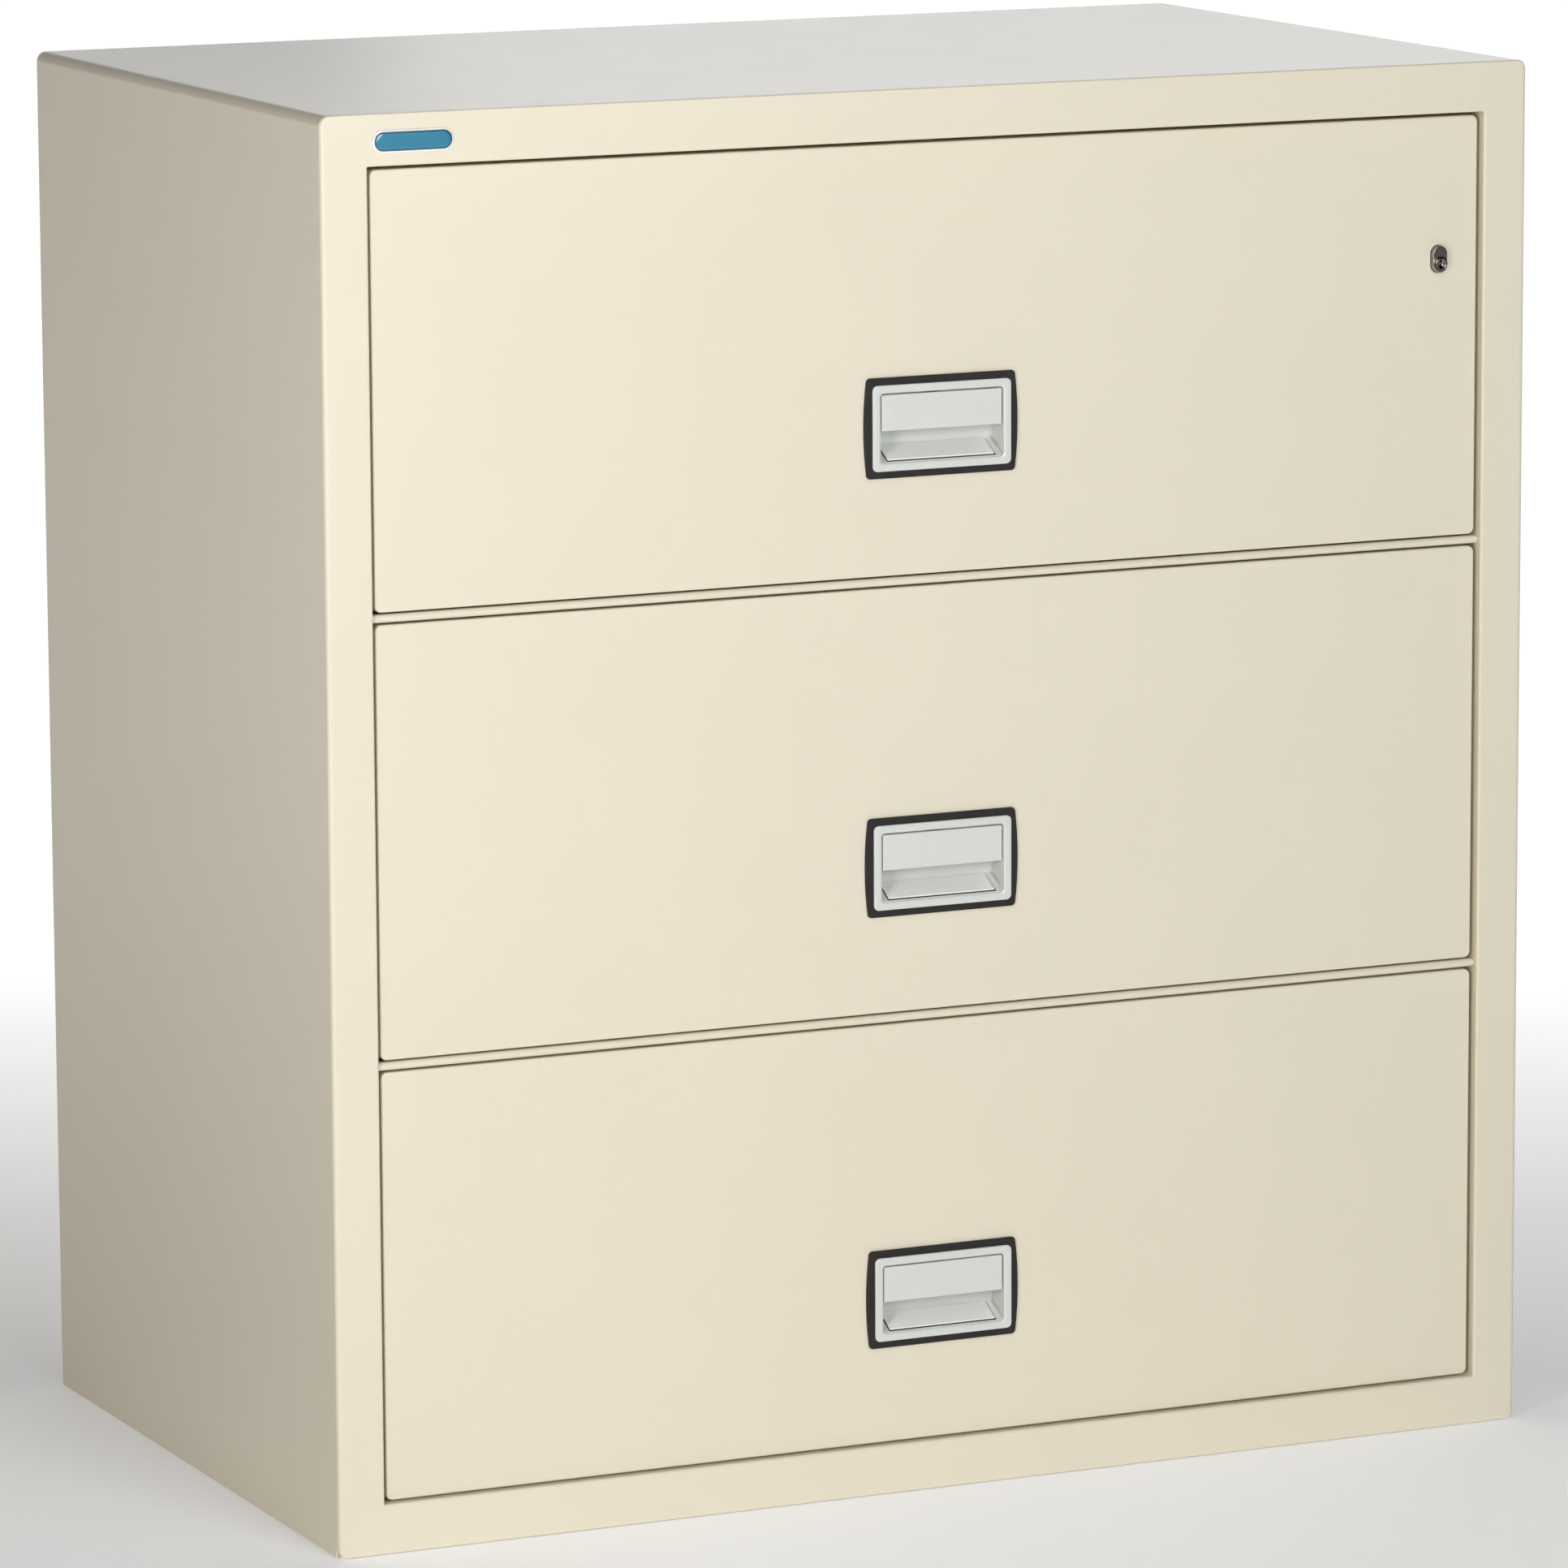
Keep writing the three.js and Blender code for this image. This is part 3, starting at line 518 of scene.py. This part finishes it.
def back_plate():
    """Rear panel with softly bent edges."""
    shape = outline(WIDTH, HEIGHT, OUTER_CORNER)
    bend_radius, edge = 1.2, 0.3
    rings = profile_rings(shape, ((-edge, 0), (0, edge)), PANEL_LOW.y, CASE_CENTRE)
    for angle in quarter_turn(4):
        inset = bend_radius * (1 - math.cos(angle))
        depth = PANEL_HIGH.y - bend_radius * (1 - math.sin(angle))
        rings.append(ring(shape, -inset, depth, CASE_CENTRE))
    obj = even_shading(lofted("back_plate", rings))
    add_piece(obj, PAINT, "cabinet", "cabinet_paint", "back_panel")


RAIL = {"nose_depth": 7.0, "into_lip": 1.2, "web": 2.4, "tip": 0.12}


def rail(level):
    """Rail between two drawer heads: a web and a round nose whose rounded ends sink into the frame's lips."""
    low, high = node_box(f"mid_rail_{level}")
    z = (low.z + high.z) / 2
    radius = (high.z - low.z) / 2
    centre_y = low.y + radius
    nose_back = low.y + RAIL["nose_depth"]
    half = high.x + RAIL["into_lip"]
    half_turn = [math.pi * step / 10 for step in range(11)]
    section = [(centre_y - radius * math.sin(a), radius * math.cos(a)) for a in half_turn]
    section += [(nose_back, -radius), (nose_back, radius)]
    stations = []
    for angle in quarter_turn(6):
        stations.append((-half + radius * (1 - math.cos(angle)), max(math.sin(angle), RAIL["tip"])))
    stations += [(-x, share) for x, share in reversed(stations)]
    rings = []
    for x, share in stations:
        points = []
        for y, dz in section:
            nose = share if y < centre_y else 1
            points.append((x, centre_y + (y - centre_y) * nose, z + dz * share))
        rings.append(points)
    bm = bmesh.new()
    loft(bm, rings)
    obj = even_shading(finish_mesh(bm, f"rail_{level}"))
    web = tool_box(low.x, high.x, nose_back - 1, high.y, z - RAIL["web"] / 2, z + RAIL["web"] / 2)
    combine(obj, web, "UNION")
    add_piece(obj, PAINT, "cabinet", "cabinet_paint", f"mid_rail_{level}")


# ---------------------------------------------------------------- drawer heads
def handle_hole():
    """Half the width and half the height of the hole that the cup of a handle passes through."""
    margin = CUP["wall"] + CUP["room"]
    return CUP["width"] / 2 + margin, CUP["height"] / 2 + margin


def drawer_head(level):
    """Folded pan with softly bent edges, open at the back, with holes for the handle and the lock."""
    centre = (0.0, HEAD_Z[level] + HEAD_HEIGHT / 2)
    shape = outline(HEAD_WIDTH, HEAD_HEIGHT, HEAD_CORNER)
    inner_face = HEAD_FACE + HEAD_SHEET
    rings = [
        ring(shape, -HEAD_BEND - HEAD_SHEET, inner_face, centre),
        ring(shape, -HEAD_SHEET, inner_face + HEAD_BEND, centre),
        ring(shape, -HEAD_SHEET, HEAD_BACK, centre),
        ring(shape, 0, HEAD_BACK, centre),
    ]
    rings += bend(shape, HEAD_BEND, HEAD_FACE, centre)
    obj = lofted(f"{level}_drawer_face", rings)
    half_w, half_h = handle_hole()
    z = HANDLE_Z[level]
    hole = tool_box(-half_w, half_w, HEAD_FACE - 1, inner_face + 1, z - half_h, z + half_h)
    combine(obj, hole, "DIFFERENCE")
    if level == "top":
        combine(obj, lock_hole(HEAD_FACE - 1, inner_face + 1), "DIFFERENCE")
    even_shading(obj)
    add_piece(obj, PAINT, f"{level}_drawer", "cabinet_paint", f"{level}_drawer_front")


# ---------------------------------------------------------------- handle
def bezel(level):
    """Black surround with bowed ends and rounded edges."""
    centre = (0.0, HANDLE_Z[level])
    half_w, half_h = handle_hole()
    outer = outline(BEZEL["width"], BEZEL["height"], BEZEL["corner"], BEZEL["bow"])
    inner = outline(2 * half_w, 2 * half_h, 1.0)
    back, front = HEAD_FACE - 0.3, BEZEL["front"]
    rings = [ring(outer, 0, back, centre), ring(outer, 0, front + 1.3, centre)]
    rings += bend(outer, 1.0, front, centre, steps=4)[1:]
    rings += profile_rings(inner, ((1.0, 0), (0.2, 0.5), (0.2, back - front)), front, centre)
    obj = even_shading(lofted(f"{level}_bezel", rings, closed=True))
    add_piece(obj, BLACK, f"{level}_drawer", "handle_bezel", f"{level}_handle_bezel")


# Offsets from the cup's outline and depths, from the ring's flat front into the cup and down to its back.
CUP_MOUTH = ((2.0, 0.0), (1.2, 0.1), (0.35, 0.55), (0.0, 1.4))
CUP_BACK = ((-0.25, -1.6), (-0.7, -0.5), (-1.8, 0.0))
ARM_SLOT = {"half_width": 6, "above": 3, "below": 10}


def housing(level):
    """Moulded cup behind a convex ring, with a sloping floor."""
    z = HANDLE_Z[level]
    centre = (0.0, z)
    cup = outline(CUP["width"], CUP["height"], CUP["corner"])
    rim = outline(RING["width"], RING["height"], RING["corner"])
    wall, back, front = CUP["wall"], CUP["back"], RING["front"]
    ring_back = BEZEL["front"] - 0.3
    rings = [ring(cup, wall, back + wall, centre), ring(cup, wall, ring_back, centre)]
    rings += [ring(rim, 0, ring_back, centre), ring(rim, 0, front + 1.0, centre)]
    rings += bend(rim, 0.9, front + 0.1, centre, steps=4)[1:]
    rings += [ring(rim, -2.2, front, centre)]
    rings += profile_rings(cup, CUP_MOUTH, front, centre)
    rings += profile_rings(cup, CUP_BACK, back, centre)
    obj = lofted(f"{level}_housing", rings)
    floor = z - CUP["height"] / 2
    combine(obj, floor_wedge(floor), "UNION")
    finger_plate(level, floor)
    half, pivot = ARM_SLOT["half_width"], z + PIVOT_RISE
    slot_low, slot_high = pivot - ARM_SLOT["below"], pivot + ARM_SLOT["above"]
    arm_slot = tool_box(-half, half, back - 1, back + wall + 1, slot_low, slot_high)
    combine(obj, arm_slot, "DIFFERENCE")
    even_shading(obj)
    add_piece(obj, SILVER, f"{level}_drawer", "handle_silver", f"{level}_handle_housing")


SLOPE = {"front": 2.4, "lip": 0.6, "rise": 11.6}
PAD = {"half_width": 43.5, "front": 3.6, "back": 20.2, "thickness": 1.3}
# Painted shadow: a thin black sheet a little larger than the finger plate, under it, darkens the gap round
# the plate.
PAINTED_SHADOW_SHEET = {"edge": 0.8, "thickness": 0.3}


def slope_height(floor, y):
    """Height of the cup's sloping floor at depth y."""
    back = CUP["back"] + CUP["wall"] - 0.5
    share = (y - SLOPE["front"]) / (back - SLOPE["front"])
    return floor + SLOPE["lip"] + share * (SLOPE["rise"] - SLOPE["lip"])


def sloping_slab(bm, floor, front, back, half, lower, upper):
    """A slab along the cup's sloping floor, from lower to upper millimetres above it."""
    extruded(bm, [
        (front, slope_height(floor, front) + lower),
        (back, slope_height(floor, back) + lower),
        (back, slope_height(floor, back) + upper),
        (front, slope_height(floor, front) + upper),
    ], -half, half)


def floor_wedge(floor):
    """The body of the cup's sloping floor, sunk into the walls round it."""
    front, back = SLOPE["front"], CUP["back"] + 1
    half = CUP["width"] / 2 + 1
    bm = bmesh.new()
    extruded(bm, [
        (front, floor - 1),
        (back, floor - 1),
        (back, slope_height(floor, back)),
        (front, slope_height(floor, front)),
    ], -half, half)
    return finish_mesh(bm, "wedge")


def finger_plate(level, floor):
    """Plate let into the sloping floor, proud of it: painted brighter than the housing's silver as painted
    light, on a thin black sheet a little larger that paints the shadow in the gap round it.
    """
    half, front, back = PAD["half_width"], PAD["front"], PAD["back"]
    bm = bmesh.new()
    sloping_slab(bm, floor, front, back, half, 0.1, PAD["thickness"])
    plate = soften(finish_mesh(bm, f"{level}_finger_plate"), 0.4, segments=3)
    # The plate gets the brighter silver, which is painted light.
    add_piece(plate, SILVER_PAINTED_LIGHT, f"{level}_drawer", "handle_silver")
    # Painted shadow: a thin black sheet under the plate, a little larger, darkens the gap round it.
    edge = PAINTED_SHADOW_SHEET["edge"]
    bm = bmesh.new()
    sloping_slab(bm, floor, front - edge, back + edge, half + edge, -1, PAINTED_SHADOW_SHEET["thickness"])
    shadow_sheet = finish_mesh(bm, f"{level}_finger_plate_painted_shadow")
    add_piece(shadow_sheet, BLACK, f"{level}_drawer", "handle_bezel")


def paddle(level):
    """Pull plate with a flat face, a rounded barrel along its top and the arm that works the latch rod."""
    low, high = node_box(f"{level}_handle_paddle")
    pivot_y, pivot_z = 4.4, HANDLE_Z[level] + PIVOT_RISE
    face, thickness, barrel, round_top = 1.8, 3.2, 2.6, 0.9
    half = CUP["width"] / 2 - 1
    top, bottom, inner = pivot_z + barrel, low.z, face + thickness
    points = [(face, bottom), (face, top - round_top)]
    for angle in quarter_turn(5)[1:]:
        points.append((face + round_top * (1 - math.cos(angle)), top - round_top * (1 - math.sin(angle))))
    for angle in reversed(quarter_turn(6)):
        points.append((pivot_y + barrel * math.cos(angle), pivot_z + barrel * math.sin(angle)))
    points += [(pivot_y + barrel, pivot_z - 2), (inner, pivot_z - 5), (inner, bottom)]
    bm = bmesh.new()
    extruded(bm, points, -half, half)
    obj = soften(finish_mesh(bm, f"{level}_paddle"), 0.45, segments=3, angle=50)
    arm_half_width, arm_half_height, pin_radius = 5, 1.4, 1.5
    arm = tool_box(-arm_half_width, arm_half_width, pivot_y + 1, high.y,
                   pivot_z - arm_half_height, pivot_z + arm_half_height)
    combine(obj, arm, "UNION")
    full_turn = [2 * math.pi * step / 20 for step in range(20)]
    pin = [(pivot_y + pin_radius * math.cos(a), pivot_z + pin_radius * math.sin(a)) for a in full_turn]
    bm = bmesh.new()
    extruded(bm, pin, low.x, high.x)
    combine(obj, finish_mesh(bm, "pin"), "UNION")
    even_shading(obj)
    add_piece(obj, SILVER, f"{level}_paddle", "handle_silver", f"{level}_handle_paddle")


# ---------------------------------------------------------------- lock
LOCK_CENTRE = ((LOCK_LOW.x + LOCK_HIGH.x) / 2, (LOCK_LOW.z + LOCK_HIGH.z) / 2)
LOCK_RADIUS = (LOCK_HIGH.x - LOCK_LOW.x) / 2
LOCK_STRAIGHT = LOCK_HIGH.z - LOCK_LOW.z - 2 * LOCK_RADIUS
PLUG_CENTRE = ((PLUG_LOW.x + PLUG_HIGH.x) / 2, (PLUG_LOW.z + PLUG_HIGH.z) / 2)
PLUG_RADIUS = (PLUG_HIGH.x - PLUG_LOW.x) / 2
BARREL_BACK = 36.0
TAIL_RADIUS = 4.0
TAIL_NOSE = 67.0
PLUG_ROOM = 0.3
COLLAR = ((0.9, 2.0), (0.9, 0.5), (0.7, 0.1), (0.5, 0.0))
PLUG_FACE = ((0.0, 0.5), (-0.15, 0.15), (-0.5, 0.0), (-1.0, 0.05), (-1.6, 0.35))
KEYWAY = {"half_width": 0.8, "half_height": 3.6, "depth": 9.0, "middle": 1.25, "middle_depth": 7.0}


def lock_hole(y0, y1):
    """The tool that cuts the lock's way through the drawer head."""
    shape = obround(LOCK_RADIUS + 0.4, LOCK_STRAIGHT)
    return lofted("tool", [ring(shape, 0, y0, LOCK_CENTRE), ring(shape, 0, y1, LOCK_CENTRE)])


def lock_body():
    """Obround plunger with a rounded edge and a raised collar round the plug."""
    front = LOCK_LOW.y
    shape = obround(LOCK_RADIUS, LOCK_STRAIGHT)
    rings = [ring(shape, 0, BARREL_BACK, LOCK_CENTRE), ring(shape, 0, front + 1.6, LOCK_CENTRE)]
    rings += bend(shape, 0.7, front + 0.7, LOCK_CENTRE, steps=4)
    obj = lofted("lock_body", rings)
    bore = circle(PLUG_RADIUS + PLUG_ROOM)
    combine(obj, lofted("collar", profile_rings(bore, COLLAR, front, PLUG_CENTRE)), "UNION")
    hole = profile_rings(bore, ((0.25, -1), (0.25, 0.1), (0, 0.6)), front, PLUG_CENTRE)
    hole.append(ring(bore, 0, PLUG_HIGH.y + 1, PLUG_CENTRE))
    combine(obj, lofted("tool", hole), "DIFFERENCE")
    round_tail = circle(TAIL_RADIUS, 32)
    tail = lofted("tail", [ring(round_tail, 0, y, LOCK_CENTRE) for y in (BARREL_BACK - 1, LOCK_HIGH.y)])
    combine(tail, slant_tool(), "DIFFERENCE")
    combine(obj, tail, "UNION")
    even_shading(obj)
    add_piece(obj, CHROME, "lock_plunger", "lock_chrome", "lock_plunger")


def slant_tool():
    """The wedge that leaves a slanted nose on the lock's tail."""
    reach, half = 20.0, 2 * TAIL_RADIUS
    x, z = LOCK_CENTRE
    bm = bmesh.new()
    points = [(TAIL_NOSE - reach, z - reach), (TAIL_NOSE + reach, z - reach), (TAIL_NOSE + reach, z + reach)]
    extruded(bm, points, x - half, x + half)
    return finish_mesh(bm, "tool")


def lock_plug():
    """Key plug with a dished face and a keyway that widens in its middle."""
    shape = circle(PLUG_RADIUS)
    front = PLUG_LOW.y
    rings = [ring(shape, 0, PLUG_HIGH.y, PLUG_CENTRE)]
    rings += profile_rings(shape, PLUG_FACE, front, PLUG_CENTRE)
    obj = lofted("key_plug", rings)
    x, z = PLUG_CENTRE
    half_w, half_h = KEYWAY["half_width"], KEYWAY["half_height"]
    keyway = tool_box(x - half_w, x + half_w, front - 1, front + KEYWAY["depth"], z - half_h, z + half_h)
    combine(obj, keyway, "DIFFERENCE")
    middle = circle(KEYWAY["middle"], 24)
    ends = ((0, -1), (0, KEYWAY["middle_depth"]))
    combine(obj, lofted("tool", profile_rings(middle, ends, front, PLUG_CENTRE)), "DIFFERENCE")
    even_shading(obj)
    add_piece(obj, CHROME, "lock_plug", "lock_chrome", "lock_plug")


# ---------------------------------------------------------------- badge
# The badge's profile: offsets from its outline, and heights as shares of its thickness.
BADGE_RIM = ((0.0, 0.0), (0.0, 0.35), (-0.35, 0.5), (-1.1, 0.55))
BADGE_DOME = ((-1.25, 0.62), (-1.8, 0.8), (-2.6, 0.92), (-3.8, 0.98), (-5.2, 1.0))
BADGE_STEPS = (0.6, 0.9)  # heights where the white rim ends and where the dark edge ends


def badge():
    """Blue pill under a clear dome, with a pale rim and no lettering."""
    height = BADGE_HIGH.z - BADGE_LOW.z
    width = BADGE_HIGH.x - BADGE_LOW.x
    centre = ((BADGE_LOW.x + BADGE_HIGH.x) / 2, (BADGE_LOW.z + BADGE_HIGH.z) / 2)
    shape = outline(width, height, height / 2 - 0.01, side_steps=1, corner_steps=14)
    back, front = BADGE_HIGH.y, BADGE_LOW.y
    depth = back - front
    rings = [ring(shape, offset, back - depth * rise, centre) for offset, rise in BADGE_RIM + BADGE_DOME]
    obj = lofted("badge_plate", rings, angle=60)
    for material in (BADGE_WHITE, BADGE_EDGE, BADGE_BLUE):
        obj.data.materials.append(material)
    for face in obj.data.polygons:
        rise = (back - face.center.y / MM + FACE_Y) / depth
        face.material_index = sum(rise > start for start in BADGE_STEPS)
    even_shading(obj)
    add_piece(obj, BADGE_BLUE, "cabinet", "badge_enamel", "badge")


# ---------------------------------------------------------------- inside
def refine_inside():
    """The inner sheet metal keeps its CAD shape, with rounded edges and a finish."""
    body_of_node = {n: b for b, nodes in frame["record"]["behaviour"]["bodies"].items() for n in nodes}
    liner = ["inner_liner", "shelf_lower_skin", "shelf_upper_skin"]
    liner += [f"{level}_{part}" for level in LEVELS for part in ("head_plate", "tray")]
    zinc = ["lock_bar", "lock_bar_guide_lower", "lock_bar_guide_upper"]
    zinc += [f"{level}_latch_rod" for level in LEVELS]
    for level in LEVELS:
        zinc += [f"{level}_slide_{kind}_{side}" for kind in ("outer", "middle", "inner") for side in SIDES]
    for node in liner:
        sheet = refined_copy(node, f"{node}_sheet", 0.35)
        add_piece(sheet, LINER_PAINT, body_of_node[node], "liner_paint", node)
    for node in zinc:
        sheet = refined_copy(node, f"{node}_sheet", 0.3)
        add_piece(sheet, ZINC, body_of_node[node], "zinc_plate", node)
    cast = ["insulation", "shelf_lower_core", "shelf_upper_core"]
    cast += [f"{level}_drawer_core" for level in LEVELS]
    for node, material in [(node, GYPSUM) for node in cast] + [("base_panel", PAINT)]:
        materials = frame["nodes"][node].data.materials
        materials.clear()
        materials.append(material)


front_frame()
case_shell()
back_plate()
rail("lower")
rail("upper")
for level in LEVELS:
    drawer_head(level)
    bezel(level)
    housing(level)
    paddle(level)
lock_body()
lock_plug()
badge()
refine_inside()


# ---------------------------------------------------------------- studio
FLOOR_GLOW = {"towards": (0.42, 0.91, 0.0), "near": 0.22, "far": 0.95, "start": 0.1, "end": 2.0}
GLOW = {
    "towards": (0.47, 0.88, 0.0),
    "across": (0.55, 0.97),
    "height": (0.42, 0.2),
    "dark": 0.01,
    "bright": 1.7,
}
LENS = {"focal": 197.6, "sensor": 36.0, "azimuth": 24.57, "elevation": 9.865, "roll": -0.28}
CAMERA_PLACE = (-2.712, -5.648 + FACE_Y * MM, 1.6246)


def area_light(name, location, target, size, power, color=(1.0, 1.0, 1.0)):
    data = bpy.data.lights.new(name, "AREA")
    data.shape = "RECTANGLE"
    data.size, data.size_y = size
    data.energy = power
    data.color = color
    obj = bpy.data.objects.new(name, data)
    obj.location = location
    obj.rotation_euler = (Vector(target) - Vector(location)).to_track_quat("-Z", "Y").to_euler()
    bpy.context.scene.collection.objects.link(obj)


def studio_floor():
    """Pale floor that glows behind the cabinet, so that it runs out into white there."""
    bm = bmesh.new()
    bmesh.ops.create_grid(bm, x_segments=1, y_segments=1, size=20.0)
    floor = finish_mesh(bm, "studio_floor")
    m = Nodes("floor_white", (0.85, 0.85, 0.85), 0.7)
    m.vary_roughness(3.0, 0.65, 0.75)
    behind = m.tree.nodes.new("ShaderNodeVectorMath")
    behind.operation = "DOT_PRODUCT"
    behind.inputs[1].default_value = FLOOR_GLOW["towards"]
    m.link(m.place, behind.inputs[0])
    glow = m.ramp(behind.outputs["Value"], FLOOR_GLOW["near"], FLOOR_GLOW["far"],
                  FLOOR_GLOW["start"], FLOOR_GLOW["end"])
    m.shader.inputs["Emission Color"].default_value = (1.0, 1.0, 1.0, 1.0)
    m.link(glow, m.shader.inputs["Emission Strength"])
    floor.data.materials.append(m.material)
    floor.location.z = -0.0005


def world():
    """A dark studio with a low white glow behind the cabinet, which its top reflects."""
    made = bpy.data.worlds.new("studio")
    bpy.context.scene.world = made
    made.use_nodes = True
    tree = made.node_tree

    def fade(value, start, end, low, high):
        node = tree.nodes.new("ShaderNodeMapRange")
        node.interpolation_type = "SMOOTHSTEP"
        for socket, setting in zip(("From Min", "From Max", "To Min", "To Max"), (start, end, low, high)):
            node.inputs[socket].default_value = setting
        tree.links.new(value, node.inputs["Value"])
        return node.outputs["Result"]

    direction = tree.nodes.new("ShaderNodeTexCoord").outputs["Generated"]
    towards = tree.nodes.new("ShaderNodeVectorMath")
    towards.operation = "DOT_PRODUCT"
    towards.inputs[1].default_value = GLOW["towards"]
    tree.links.new(direction, towards.inputs[0])
    split = tree.nodes.new("ShaderNodeSeparateXYZ")
    tree.links.new(direction, split.inputs[0])
    across = fade(towards.outputs["Value"], *GLOW["across"], 0.0, 1.0)
    upright = fade(split.outputs["Z"], *GLOW["height"], 0.0, 1.0)
    glow = tree.nodes.new("ShaderNodeMath")
    glow.operation = "MULTIPLY"
    tree.links.new(across, glow.inputs[0])
    tree.links.new(upright, glow.inputs[1])
    strength = fade(glow.outputs[0], 0.0, 1.0, GLOW["dark"], GLOW["bright"])
    tree.nodes["Background"].inputs["Color"].default_value = (1.0, 1.0, 1.0, 1.0)
    tree.links.new(strength, tree.nodes["Background"].inputs["Strength"])


def camera():
    """The photo's viewpoint, seen through a long lens without shift."""
    data = bpy.data.cameras.new("camera")
    data.sensor_width = LENS["sensor"]
    data.lens = LENS["focal"]
    data.clip_end = 60.0
    obj = bpy.data.objects.new("camera", data)
    bpy.context.scene.collection.objects.link(obj)
    azimuth, elevation, roll = (math.radians(LENS[turn]) for turn in ("azimuth", "elevation", "roll"))
    reach = math.cos(elevation)
    forward = Vector((math.sin(azimuth) * reach, math.cos(azimuth) * reach, -math.sin(elevation)))
    obj.location = CAMERA_PLACE
    look = forward.to_track_quat("-Z", "Y").to_matrix().to_4x4()
    obj.rotation_euler = (look @ Matrix.Rotation(roll, 4, "Z")).to_euler()
    bpy.context.scene.camera = obj


studio_floor()
world()
area_light("key", (0.0, -4.5, 1.8), (0, 0, 0.5), (2.0, 2.0), 95, (0.885, 0.935, 1.0))
area_light("strip", (-2.0, -1.9, 1.0), (-0.5, -0.3, 0.5), (0.6, 1.8), 27, (0.98, 0.96, 0.96))
area_light("overhead", (0.0, -1.6, 3.0), (0, 0, 0.9), (1.8, 1.2), 10)
area_light("rim", (1.7, 2.9, 1.7), (0.2, 0, 1.05), (1.6, 0.9), 4.4)
camera()
bpy.context.scene.view_settings.view_transform = "Standard"
